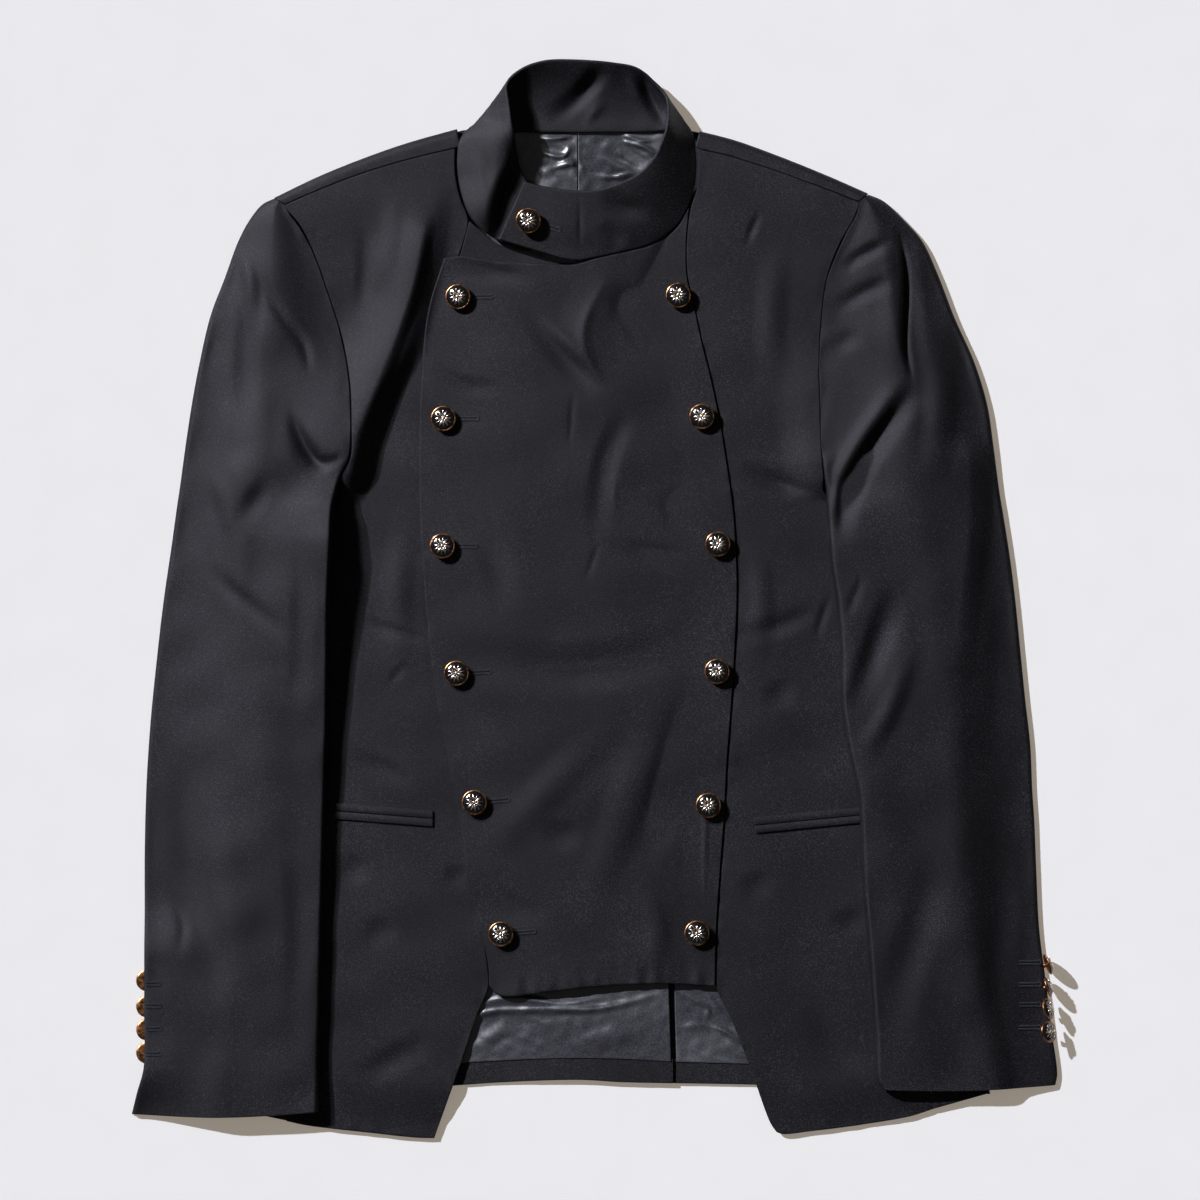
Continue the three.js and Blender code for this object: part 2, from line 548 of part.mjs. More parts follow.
const LEFT_SLEEVE = [
  { inner: [187, 277.4], outer: [192.8, 282.6], seam: true, middle: 11, edge: 11 },
  { inner: [184.3, 269.3], outer: [203, 279.6], under: [187.4, 268],
    seam: true, middle: 12, edge: 10 },
  { inner: [177.7, 257.6], outer: [217.7, 266], under: [179, 257],
    seam: true, middle: 12.5, edge: 9.5 },
  { inner: [168.8, 238], outer: [230.3, 251.3], under: [172.6, 238],
    seam: true, middle: 12.5, edge: 9 },
  { inner: [163.4, 222.6], outer: [240.8, 228.9], under: [168.6, 222],
    seam: true, middle: 12.5, edge: 9 },
  { inner: [159.8, 193.9], outer: [252.7, 198.1], under: [161.3, 194],
    seam: true, middle: 12.5, edge: 9 },
  { inner: [158.4, 165.2], outer: [266.7, 166.6], under: [160, 165.2],
    seam: true, middle: 12.5, edge: 9 },
  { inner: [159, 134.4], outer: [275.8, 136.5], under: [161.4, 134.4],
    seam: true, middle: 12.5, edge: 8.5 },
  { inner: [159.7, 107.8], outer: [280, 108.5], under: [167.5, 108],
    seam: true, middle: 12, edge: 8.5 },
  { inner: [163, 86.8], outer: [282.8, 86.8], under: [172, 87], seam: true, middle: 9, edge: 8 },
  { inner: [163.7, 76.8], outer: [284.4, 75], under: [173, 77], near: 7.5, middle: 8.8, edge: 8 },
  { inner: [163.8, 59.5], outer: [287, 59.5], near: 7.5, middle: 8.6, edge: 8 },
  { inner: [165.2, 28], outer: [291.9, 28], near: 7.5, middle: 8.4, edge: 7.8 },
  { inner: [169.4, 0], outer: [295.4, 0], near: 7.2, middle: 8.2, edge: 7.6 },
  { inner: [172.2, -35], outer: [298.9, -35], near: 7, middle: 8, edge: 7.6 },
  { inner: [172.9, -70], outer: [302.4, -70], near: 7, middle: 8, edge: 7.6 },
  { inner: [177.1, -101.5], outer: [305.9, -101.5], near: 7, middle: 8, edge: 7.4 },
  { inner: [184.1, -133], outer: [307.3, -133], near: 6.8, middle: 7.8, edge: 7.2 },
  { inner: [186.2, -154], outer: [308.7, -154], near: 6.8, middle: 7.6, edge: 7.2 },
  { inner: [187.6, -192.5], outer: [310.1, -189], near: 6.6, middle: 7.4, edge: 7 },
  { inner: [191.1, -233.8], outer: [312.2, -231], near: 6.6, middle: 7.2, edge: 7 },
  { inner: [193.9, -269.5], outer: [317.1, -269.5], near: 6.6, middle: 7.2, edge: 7 },
  { inner: [196.7, -308], outer: [321.3, -304.5], near: 6.6, middle: 7.2, edge: 7 },
  { inner: [198.1, -335.3], outer: [324.8, -332.5], near: 6.6, middle: 7.2, edge: 7 },
  { inner: [202.3, -343], outer: [323.4, -340.2], near: 6.6, middle: 7.2, edge: 7 },
];

const RIGHT_SLEEVE_FOLDS = [
  { crest: [[-236, 225, 0], [-243, 180, -2], [-244, 115, 0]], east: 12, west: 12 },
  { crest: [[-211, 128, 0], [-196, 98, -3.5], [-184, 96, 0]], east: 14, west: 14 },
  { crest: [[-271, 22, 0], [-246, 0, -1.6], [-214, -25, 0]], east: 10, west: 10 },
  { crest: [[-285, -98, 0], [-282, -188, -1.4], [-255, -287, 0]], east: 18, west: 18 },
];
const LEFT_SLEEVE_FOLDS = [
  { crest: [[215, 260, 0], [219, 218, -2.5], [226, 160, 0]], east: 12, west: 14 },
  {
    crest: [[225, 151, 0], [209, 131, -4.5], [190, 104, -5], [178, 85, -4], [167, 43, 0]],
    east: 16,
    west: 10,
  },
  { crest: [[212, 11, 0], [196, -35, -3.5], [180, -84, 0]], east: 16, west: 12 },
  { crest: [[246, -165, 0], [224, -237, -1.6], [204, -322, 0]], east: 18, west: 18 },
];

const RIGHT_FOLD_LINE = RIGHT_SIDE.map((row) => [row.fold, row.y]);
const LEFT_FOLD_LINE = LEFT_SIDE.map((row) => [row.fold, row.y]);
const RIGHT_UNDERARM_TOP = 88;
const LEFT_UNDERARM_TOP = 95;
const CUFF_BUTTON_LIFT = 6.6;
const CUFF_LIFT_ZONE = { x: -283, top: -228, bottom: -360, rampX: 17, rampY: 20 };

// Height of the surface that a sleeve lies on: the floor, and the body past its side fold
function supportOf(side, x, y) {
  const right = side === 'right';
  const fold = edgeAt(right ? RIGHT_FOLD_LINE : LEFT_FOLD_LINE, y);
  const beyond = Math.max(0, right ? fold - x : x - fold);
  const above = Math.max(0, y - (right ? RIGHT_UNDERARM_TOP : LEFT_UNDERARM_TOP));
  const away = (Math.hypot(beyond, above) - SUPPORT_SHELF) / SUPPORT_RAMP;
  const body = SLEEVE_SUPPORT * smooth(1 - away);
  if (!right) return body;
  const { x: start, top, bottom, rampX, rampY } = CUFF_LIFT_ZONE;
  const inZone = smooth((top - y) / rampY) * smooth((y - bottom) / rampY);
  return body + CUFF_BUTTON_LIFT * inZone * smooth((start - x) / rampX);
}

function buildSleeve(side, table, folds, bow) {
  const right = side === 'right';
  const frontTop = right ? rightFrontTop : leftFrontTop;
  const innerCurve = curve(table.map((row) => row.inner));
  const outerCurve = curve(table.map((row) => row.outer));
  const heights = curve(table.map((row) => [row.near ?? 0, row.middle, row.edge]));
  const rows = table.length - 1;
  const grid = [];
  for (let i = 0; i <= rows; i += 1) {
    const t = i / rows;
    const inner = innerCurve.getPoint(t);
    const outer = outerCurve.getPoint(t);
    const seam = table[i].seam;
    const seamTop = frontTop(inner.x, inner.y);
    const height = heights.getPoint(t);
    const onBody = supportOf(side, inner.x, inner.y);
    const nearTop = seam ? seamTop : Math.max(onBody + height.x, seamTop + 1);
    const innerRim = seam ? seamTop : onBody + BACK_WALL + RIM_GAP;
    const outerRim = supportOf(side, outer.x, outer.y) + BACK_WALL + RIM_GAP;
    const span = inner.distanceTo(outer);
    const inset = Math.min(SLEEVE_FOLD_INSET, span / 4) / span;
    const top = (u) => {
      const place = inner.clone().lerp(outer, u);
      const support = supportOf(side, place.x, place.y);
      const middle = support + height.y;
      const level = u < 0.5
        ? mix(nearTop, middle, smooth(2 * u))
        : mix(middle, support + height.z, smooth(2 * u - 1));
      const lowest = support + BACK_WALL + SLEEVE_WALL + SLEEVE_CLEARANCE;
      return Math.max(lowest, level + foldsAt(folds, place.x, place.y));
    };
    const row = [];
    const add = (u, z) => {
      const place = inner.clone().lerp(outer, u);
      const nearHem = smooth((t - HEM_BOW_START) / (1 - HEM_BOW_START));
      const sag = bow * nearHem * Math.sin(Math.PI * u);
      row.push(new THREE.Vector3(place.x, place.y - sag, z));
    };
    for (const angle of [0, SLEEVE_RIM_ANGLE]) {
      const turn = THREE.MathUtils.degToRad(angle);
      add(inset * (1 - Math.cos(turn)), mix(innerRim, top(inset), Math.sin(turn)));
    }
    for (let k = 0; k <= SLEEVE_COLUMNS; k += 1) {
      const u = mix(inset, 1 - inset, k / SLEEVE_COLUMNS);
      add(u, top(u));
    }
    for (const angle of [SLEEVE_RIM_ANGLE, 0]) {
      const turn = THREE.MathUtils.degToRad(angle);
      add(1 - inset * (1 - Math.cos(turn)), mix(outerRim, top(1 - inset), Math.sin(turn)));
    }
    grid.push(right ? row.reverse() : row);
  }
  addPiece(`sleeve_top_${side}`, wallGeometry(grid, SLEEVE_WALL), CLOTH_COLOUR);
}

// The under sleeve shares the rows of the upper one, from the second row down
const UNDER_COLUMNS = [0, 0.25, 0.4, 0.5, 0.6, 0.7, 0.8, 0.9, 0.96, 1];

function buildUnderSleeve(side, table, bow) {
  const rows = table.slice(1);
  const grid = rows.map(({ inner, outer, under = inner }, index) => {
    const atHem = index === rows.length - 1 ? bow : 0;
    const row = UNDER_COLUMNS.map((u) => {
      const x = mix(under[0], outer[0], u);
      const y = mix(under[1], outer[1], u) - atHem * Math.sin(Math.PI * u);
      return new THREE.Vector3(x, y, BACK_WALL + supportOf(side, x, y));
    });
    return side === 'right' ? row.reverse() : row;
  });
  addPiece(`sleeve_under_${side}`, wallGeometry(grid, BACK_WALL, 'plumb'), CLOTH_COLOUR);
}

// Collar: one band round the neck, from its left tab round the back to its right end. Each
// station gives the seam edge and the free edge of the band's middle as [x, y, z].
const COLLAR = [
  { seam: [-67.2, 252.2, 13.8], free: [-49, 292.6, 15.6] },
  { seam: [-44.8, 245.6, 13.8], free: [-33.6, 289.1, 16.5] },
  { seam: [-14, 237.6, 13.2], free: [-13.3, 286.3, 17] },
  { seam: [4.2, 241.9, 12.6], free: [2.1, 287, 17] },
  { seam: [22.4, 246, 12.2], free: [18.2, 291.6, 17.5] },
  { seam: [40.6, 251.4, 11.8], free: [32.2, 298.9, 18.5] },
  { seam: [57, 263, 11.6], free: [42, 309.4, 20.5] },
  { seam: [66, 277.5, 11.2], free: [47.6, 321.3, 22.5] },
  { seam: [70.7, 295.4, 11.2], free: [51.1, 333.2, 23.5] },
  { seam: [70.9, 313.6, 10.6], free: [51.8, 343, 22] },
  { seam: [67.9, 329.5, 7.5], free: [49.7, 353.5, 17] },
  { seam: [57.4, 333.2, 3.6], free: [40.6, 364, 10] },
  { seam: [39.2, 332, 1.9], free: [30.1, 372.4, 5] },
  { seam: [18.2, 331.4, 1.4], free: [12.6, 375.9, 2.4] },
  { seam: [-9.8, 331, 1.2], free: [-9.8, 377.7, 1.8] },
  { seam: [-37.8, 331.2, 1.4], free: [-34.3, 377.3, 2.6] },
  { seam: [-62.3, 331.6, 2.6], free: [-50.4, 371.7, 8] },
  { seam: [-82.6, 334.6, 6], free: [-60.2, 361.2, 15] },
  { seam: [-93.5, 322, 10], free: [-58.8, 345.8, 19] },
  { seam: [-95.9, 304.5, 11], free: [-56.7, 329, 18.5] },
  { seam: [-92.8, 284.9, 11], free: [-53.9, 310.8, 15.5] },
  { seam: [-85.8, 267.4, 10.6], free: [-49, 296.8, 12] },
  { seam: [-76.3, 257.6, 10.2], free: [-42, 288.4, 11] },
  { seam: [-67.2, 251.7, 9.9], free: [-32.2, 282.8, 10.5] },
  { seam: [-44.8, 244.3, 9.6], free: [-19.6, 275.8, 9.8] },
];

function buildCollar() {
  const seamCurve = curve(COLLAR.map((station) => station.seam));
  const freeCurve = curve(COLLAR.map((station) => station.free));
  const steps = 36;
  const rises = 3;
  const grid = [];
  for (let k = 0; k <= rises; k += 1) {
    const row = [];
    for (let i = 0; i <= steps; i += 1) {
      row.push(seamCurve.getPoint(i / steps).lerp(freeCurve.getPoint(i / steps), k / rises));
    }
    grid.push(row);
  }
  addPiece('collar', wallGeometry(grid, COLLAR_WALL, 'centred'), CLOTH_COLOUR);
}

// Lining, only where the neck and the open skirt show it
function buildLining(name, edges, columns, rows, lift = () => 0) {
  const height = BACK_WALL + LINING_GAP + LINING_WALL;
  const grid = raise(fillEdges(edges, columns, rows), (x, y) => height + lift(x, y));
  addPiece(name, wallGeometry(grid, LINING_WALL, 'plumb'), LINING_COLOUR, 0.4);
}

function buildLinings() {
  buildLining('lining_neck_right', {
    left: [[-80, 328.8], [-76, 260], [-60, 218]],
    right: [[-11.4, 328.8], [-11.4, 218]],
    top: [[-80, 328.8], [-11.4, 328.8]],
    bottom: [[-60, 218], [-11.4, 218]],
  }, 4, 6);
  buildLining('lining_neck_left', {
    left: [[-11, 328.8], [-11, 218]],
    right: [[56, 328.8], [52, 260], [40, 218]],
    top: [[-11, 328.8], [56, 328.8]],
    bottom: [[-11, 218], [40, 218]],
  }, 4, 6);
  buildLining('lining_hem_right', {
    left: [[-130, -268.5], [-132, -324.6]],
    right: [[52.2, -268.5], [54, -323.6]],
    top: [[-130, -268.5], [52.2, -268.5]],
    bottom: [[-132, -324.6], [-95, -324.4], [-30, -321.4], [18, -321.6], [54, -323.6]],
  }, 9, 4, ventLift);
  buildLining('lining_hem_left', {
    left: [[56.4, -268.5], [57.6, -323.9]],
    right: [[150, -268.5], [152, -325.6]],
    top: [[56.4, -268.5], [150, -268.5]],
    bottom: [[57.6, -323.9], [106, -325.2], [152, -325.6]],
  }, 4, 3);
}

// Pocket welts, two strips each side, laid on the fronts
const WELT_ROWS = {
  right: { top: [[-203, -140.5], [-112.8, -147.5]], middle: [[-203, -146], [-112.8, -153]],
    bottom: [[-203, -151.8], [-112.8, -158.9]] },
  left: { top: [[111.7, -152.4], [222, -141.9]], middle: [[112.6, -157.8], [222.4, -147.2]],
    bottom: [[113.6, -163.4], [222.8, -152.8]] },
};

function buildWelts(side, frontTop) {
  const { top, middle, bottom } = WELT_ROWS[side];
  const strip = (name, upper, lower) => {
    const grid = fillEdges({
      left: [upper[0], lower[0]],
      right: [upper[1], lower[1]],
      top: upper,
      bottom: lower,
    }, 8, 1);
    raise(grid, (x, y) => frontTop(x, y) + SEAM_GAP + WELT_WALL);
    addPiece(name, wallGeometry(grid, WELT_WALL, 'plumb'), CLOTH_COLOUR);
  };
  const shift = (line, amount) => line.map(([x, y]) => [x, y - amount]);
  strip(`welt_upper_${side}`, top, middle);
  strip(`welt_lower_${side}`, shift(middle, SEAM_GAP), bottom);
}

// Buttons: a shank, a back plate, a rim and a dome, turned about their own axis
function buttonGeometry(diameter, sides) {
  const r = diameter / 2;
  const h = diameter * BUTTON_HEIGHT_RATIO;
  const profile = [
    [0, 0], [0.24, 0], [0.24, 0.38], [0.86, 0.44], [1, 0.62], [0.9, 0.8], [0.5, 0.96], [0, 1],
  ].map(([radius, height]) => new THREE.Vector2(radius * r, height * h));
  return new THREE.LatheGeometry(profile, sides).rotateX(Math.PI / 2);
}

function placeButton(name, geometry, [x, y, z], axis) {
  const mesh = addPiece(name, geometry, METAL_COLOUR, 0.35, 0.9);
  mesh.position.set(x, y, z);
  mesh.quaternion.setFromUnitVectors(new THREE.Vector3(0, 0, 1), axis.clone().normalize());
}

const FRONT_BUTTONS = {
  right: [[-95, 212.2], [-105.3, 127], [-106, 37.7], [-96.2, -51.4], [-83.6, -141.7],
    [-65.1, -233.8]],
  left: [[59.1, 213.3], [75.6, 128.4], [86.6, 39.1], [86.2, -50], [80.1, -143.8],
    [72, -233.1]],
};
const COLLAR_BUTTON = [-45.8, 265.2, 16.6];
const COLLAR_BUTTON_AXIS = new THREE.Vector3(-0.02, -0.06, 1);

// Cuff buttons: where each shank meets the sleeve, the turn of its face in plan, and how far
// it looks up
const LEFT_CUFF_BUTTONS = [
  { base: [314.8, -256.2, 8.7], turn: 20, up: -8 },
  { base: [314.9, -271.7, 8.5], turn: 18, up: 10 },
  { base: [315.5, -286.9, 8.5], turn: 16, up: 30 },
  { base: [316.3, -302.8, 8.5], turn: 14, up: 45 },
];
const RIGHT_CUFF_BUTTONS_Y = [-266.7, -285, -301.2, -317.4];
const RIGHT_CUFF_BUTTON_X = -313.4;
const CUFF_BUTTON_DOWN = new THREE.Vector3(0, 0.001, -1);

function buildButtons() {
  const front = buttonGeometry(FRONT_BUTTON_DIAMETER, 10);
  const cuff = buttonGeometry(CUFF_BUTTON_DIAMETER, 8);
  const slopeStep = 6;
  for (const [side, places] of Object.entries(FRONT_BUTTONS)) {
    places.forEach(([x, y], index) => {
      const slopeX = (plastronTop(x + slopeStep, y) - plastronTop(x - slopeStep, y)) / (2 * slopeStep);
      const slopeY = (plastronTop(x, y + slopeStep) - plastronTop(x, y - slopeStep)) / (2 * slopeStep);
      const axis = new THREE.Vector3(-slopeX, -slopeY, 1);
      placeButton(`button_front_${side}_${index + 1}`, front,
        [x, y, plastronTop(x, y) + BUTTON_GAP], axis);
    });
  }
  placeButton('button_collar', front, COLLAR_BUTTON, COLLAR_BUTTON_AXIS);
  LEFT_CUFF_BUTTONS.forEach(({ base, turn, up }, index) => {
    const plan = THREE.MathUtils.degToRad(turn);
    const rise = THREE.MathUtils.degToRad(up);
    const axis = new THREE.Vector3(
      Math.cos(rise) * Math.cos(plan), Math.cos(rise) * Math.sin(plan), Math.sin(rise));
    placeButton(`button_cuff_left_${index + 1}`, cuff, base, axis);
  });
  RIGHT_CUFF_BUTTONS_Y.forEach((y, index) => {
    const height = supportOf('right', RIGHT_CUFF_BUTTON_X, y) - SEAM_GAP;
    placeButton(`button_cuff_right_${index + 1}`, cuff, [RIGHT_CUFF_BUTTON_X, y, height],
      CUFF_BUTTON_DOWN);
  });
}

buildBack('back_right', RIGHT_BACK_EDGES, 9, ventLift, RIGHT_SHOULDER_STRIP);
buildBack('back_left', LEFT_BACK_EDGES, 5, () => 0, LEFT_SHOULDER_STRIP);
buildSide('side_right', RIGHT_SIDE, false);
buildSide('side_left', LEFT_SIDE, true);
buildFronts();
buildSleeve('right', RIGHT_SLEEVE, RIGHT_SLEEVE_FOLDS, RIGHT_HEM_BOW);
buildSleeve('left', LEFT_SLEEVE, LEFT_SLEEVE_FOLDS, LEFT_HEM_BOW);
buildUnderSleeve('right', RIGHT_SLEEVE, RIGHT_HEM_BOW);
buildUnderSleeve('left', LEFT_SLEEVE, LEFT_HEM_BOW);
buildCollar();
buildLinings();
buildWelts('right', rightFrontTop);
buildWelts('left', leftFrontTop);
buildButtons();

// The tables put the bottom centre of the whole jacket here
jacket.position.set(-ORIGIN_X, -ORIGIN_Y, 0);

export default jacket;
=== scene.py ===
"""The looks of a double-breasted military jacket that lies on its back: twill, satin lining,
seams, folds, stitched buttonholes and enamelled buttons, with a floor, light and camera."""

import math

import bpy
import numpy as np
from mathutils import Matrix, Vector


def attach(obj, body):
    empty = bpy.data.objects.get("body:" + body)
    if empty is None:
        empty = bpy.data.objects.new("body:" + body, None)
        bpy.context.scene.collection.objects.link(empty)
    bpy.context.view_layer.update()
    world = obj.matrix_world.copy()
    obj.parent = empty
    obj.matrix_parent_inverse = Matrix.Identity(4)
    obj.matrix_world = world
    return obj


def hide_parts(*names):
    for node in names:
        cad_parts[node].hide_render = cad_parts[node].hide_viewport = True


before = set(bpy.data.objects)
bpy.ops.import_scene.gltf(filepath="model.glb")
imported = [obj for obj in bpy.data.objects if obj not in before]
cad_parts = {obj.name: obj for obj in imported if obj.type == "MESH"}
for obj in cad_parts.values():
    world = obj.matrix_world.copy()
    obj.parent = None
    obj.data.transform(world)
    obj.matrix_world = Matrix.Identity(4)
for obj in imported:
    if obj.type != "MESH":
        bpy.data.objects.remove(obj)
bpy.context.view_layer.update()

# Millimetres, hem towards -Y, the wearer's right side at -X, up from the surface in Z
MM = 0.001
ORIGIN = (0.35, 0.3)
DETAIL = 1.0

# Walls and clearances
BACK_WALL = 1.4
FRONT_WALL = 1.6
PLASTRON_WALL = 2.2
SLEEVE_WALL = 2.0
COLLAR_WALL = 2.2
LINING_WALL = 1.0
WELT_WALL = 0.9
SEAM_GAP = 0.3
RIM_GAP = 0.7
LINING_GAP = 0.5
LEAST_CLEARANCE = 0.1
SLEEVE_CLEARANCE = 1.4

# Heights over the surface
SIDE_FOLD_HEIGHT = 5.6
SHOULDER_HEIGHT = 11
SHOULDER_FALL = 110
SEAM_HEIGHT_LEFT = 7
SEAM_RISE_RIGHT = 0.6
HIDDEN_EDGE_HEIGHT = 5.4
PLASTRON_STEP = 2.75
PLASTRON_CROWN = 2.6
SLEEVE_SUPPORT = 7.2
SUPPORT_SHELF = 3
SUPPORT_RAMP = 19
SLEEVE_FOLD_INSET = 3.5
VENT_LIFT = 1.8
VENT_OVERLAP = 90
VENT_RAMP = 55
VENT_TOP = -125
VENT_RISE_LENGTH = 45
CUFF_BUTTON_LIFT = 6.6

# Rough widths and lengths of the pieces, for the close rows along the rims of their meshes
BACK_WIDTH = 220
BACK_LENGTH = 660
TURN_UP_LENGTH = {"right": 240.1, "left": 186.5}
SIDE_LENGTH = 410
FRONT_WIDTH = 160
FRONT_LENGTH = 640
SLEEVE_LENGTH = 640
UNDER_SLEEVE_WIDTH = 120
UNDER_SLEEVE_LENGTH = 630
COLLAR_LENGTH = 520
COLLAR_STAND = 46
WELT_LENGTH = 95
WELT_WIDTH = 5.4

# Seeds of the random fields
SEEDS = {"swells": 11, "sleeve_left": 12, "sleeve_right": 13, "front_seams": 5, "front_hem": 17,
         "armhole": 8, "shoulder": 21, "turn_up": 31, "collar": 41, "collar_seam": 43,
         "lining": 51}

FRONT_BUTTON_DIAMETER = 17.8
CUFF_BUTTON_DIAMETER = 15.2
BUTTON_HEIGHT_RATIO = 0.37


# Plain helpers, for single numbers and for arrays of them
def smooth(value):
    t = np.clip(value, 0, 1)
    return t * t * (3 - 2 * t)


def mix(a, b, t):
    return a + (b - a) * t


def edge_at(edge, y):
    """The x of an edge, a list of (x, y) that runs down the garment, at y"""
    places = np.array(edge, float)[::-1]
    return np.interp(y, places[:, 1], places[:, 0])


class Line:
    """A centripetal Catmull-Rom curve through a list of points"""

    def __init__(self, points):
        p = np.array(points, float)
        self.points = np.vstack([2 * p[0] - p[1], p, 2 * p[-1] - p[-2]])
        self.spans = len(p) - 1
        self.shares = np.linspace(0, 1, 401)
        steps = np.linalg.norm(np.diff(self.at(self.shares), axis=0), axis=1)
        self.run = np.concatenate([[0], np.cumsum(steps)])
        self.length = self.run[-1]

    def at(self, t):
        t = np.atleast_1d(np.asarray(t, float)) * self.spans
        first = np.clip(np.floor(t).astype(int), 0, self.spans - 1)
        w = (t - first)[:, None]
        p0, p1, p2, p3 = (self.points[first + k] for k in range(4))
        d0, d1, d2 = (
            np.maximum(np.sqrt(np.linalg.norm(b - a, axis=1)), 1e-4)[:, None]
            for a, b in ((p0, p1), (p1, p2), (p2, p3))
        )
        t1 = ((p1 - p0) / d0 - (p2 - p0) / (d0 + d1) + (p2 - p1) / d1) * d1
        t2 = ((p2 - p1) / d1 - (p3 - p1) / (d1 + d2) + (p3 - p2) / d2) * d1
        a = 2 * p1 - 2 * p2 + t1 + t2
        b = -3 * p1 + 3 * p2 - 2 * t1 - t2
        return ((a * w + b) * w + t1) * w + p1

    def along(self, share):
        """Points at shares of the curve's length"""
        wanted = np.atleast_1d(np.asarray(share, float)) * self.length
        return self.at(np.interp(wanted, self.run, self.shares))


def waves(x, y, shortest, longest, seed, count=14):
    """A smooth random field from -1 to 1, with wavelengths in millimetres"""
    source = np.random.RandomState(seed)
    total = np.zeros_like(x, float)
    for _ in range(count):
        turn = source.uniform(0, 2 * math.pi)
        wave = 2 * math.pi / source.uniform(shortest, longest)
        phase = source.uniform(0, 2 * math.pi)
        total += np.sin(wave * (x * math.cos(turn) + y * math.sin(turn)) + phase)
    return total / math.sqrt(count) / 1.6


def profile(distance, sharp):
    """A fold's height across it: a soft swell, or with sharp at 1 a thin crease"""
    d = np.minimum(distance, 1)
    soft = 0.5 * (1 + np.cos(math.pi * d))
    return mix(soft, (1 - d) ** 3, sharp)


def folds_at(folds, x, y):
    """What folds add to a height. A fold is its crest, a list of (x, y, height), its reach
    to the east and to the west of a crest that runs down, and its sharpness."""
    total = np.zeros_like(x, float)
    for crest, east, west, sharp in folds:
        nearest = np.full(x.shape, np.inf)
        added = np.zeros_like(total)
        count = 1 if len(crest) == 2 else 5 * (len(crest) - 1)
        stations = Line(crest).at(np.linspace(0, 1, count + 1))
        for (x0, y0, h0), (x1, y1, h1) in zip(stations[:-1], stations[1:]):
            run_x, run_y = x1 - x0, y1 - y0
            length = run_x * run_x + run_y * run_y
            share = np.clip(((x - x0) * run_x + (y - y0) * run_y) / length, 0, 1)
            off_x, off_y = x - x0 - share * run_x, y - y0 - share * run_y
            distance = np.hypot(off_x, off_y)
            reach = np.where(run_x * off_y - run_y * off_x > 0, east, west)
            closer = distance < nearest
            nearest = np.where(closer, distance, nearest)
            height = mix(h0, h1, share) * profile(distance / reach, sharp)
            added = np.where(closer, height, added)
        total += added
    return total


def crease(start, middle, end, height, reach, sharp=0):
    """A fold through three places (x, y), with its height at the middle one"""
    return [(*start, 0), (*middle, height), (*end, 0)], reach, reach, sharp


# Large folds, which start from those of the solids
RIGHT_FRONT_FOLDS = [
    ([(-112, 293, 0), (-118, 252, 4), (-136, 178, 8), (-153, 147, 11), (-166, 117, 14),
      (-170, 98, 14), (-174, 84, 10), (-178, 70, 0)], 18, 48, 0),
]
LEFT_FRONT_FOLDS = [
    ([(158, 190, 0), (159, 134, 3), (162, 87, 4.5), (163, 70, 0)], 30, 34, 0),
    crease((99, 92), (130, 82), (158, 84), -1.4, 14),
]
PLASTRON_FOLDS = [
    ([(66, 270, -1), (62, 240, -3), (50, 215, -3), (38, 190, -2), (28, 175, 0)], 20, 26, 0),
    crease((14, 232), (-6, 190), (5, 152), 1.5, 22),
    crease((-106, -38), (-10, -48), (76, -30), -2.2, 22),
    crease((68, -64), (48, -142), (30, -190), -2, 18),
    crease((50, -58), (16, -160), (-6, -220), 1.2, 18),
]
RIGHT_SLEEVE_FOLDS = [
    crease((-236, 225), (-243, 180), (-244, 115), -2, 12),
    crease((-211, 128), (-196, 98), (-184, 96), -3.5, 14),
    crease((-271, 22), (-246, 0), (-214, -25), -1.6, 10),
    crease((-285, -98), (-282, -188), (-255, -287), -1.4, 18),
]
LEFT_SLEEVE_FOLDS = [
    ([(215, 260, 0), (219, 218, -2.5), (226, 160, 0)], 12, 14, 0),
    ([(225, 151, 0), (209, 131, -4.5), (190, 104, -5), (179, 83, -4.5), (172, 64, -3.4),
      (167, 42, 0)], 16, 10, 0),
    ([(212, 11, 0), (196, -35, -3.5), (180, -84, 0)], 16, 12, 0),
    crease((246, -165), (224, -237), (204, -322), -1.6, 18),
]

# Finer folds and creases
RIGHT_FRONT_CREASES = [
    ([(-116, 270, 0), (-119, 256, 2.2), (-126, 222, 2.8), (-139, 182, 2.4), (-152, 150, 1.4),
      (-165, 117, 0)], 8, 26, 0.15),
    crease((-164, -14), (-140, -22), (-114, -30), -0.8, 7, 0.3),
    crease((-129, -44), (-138, -52), (-145, -60), -0.6, 5, 0.4),
    crease((-169, -108), (-148, -118), (-126, -130), -1, 10, 0.2),
    crease((-167, -178), (-168, -188), (-166, -200), -0.8, 15),
    crease((-152, -222), (-150, -232), (-147, -244), -0.7, 16),
    crease((-98, -186), (-97, -194), (-99, -204), -0.6, 12),
    crease((-111, -306), (-140, -322), (-168, -336), -0.9, 13),
    crease((-139, 282), (-143, 250), (-149, 214), 0.8, 10),
    crease((-160, 262), (-160, 230), (-163, 196), -0.9, 9),
    crease((-131, 60), (-137, 10), (-135, -60), 0.7, 14),
    crease((-186, 20), (-176, -40), (-180, -100), -0.7, 12),
]
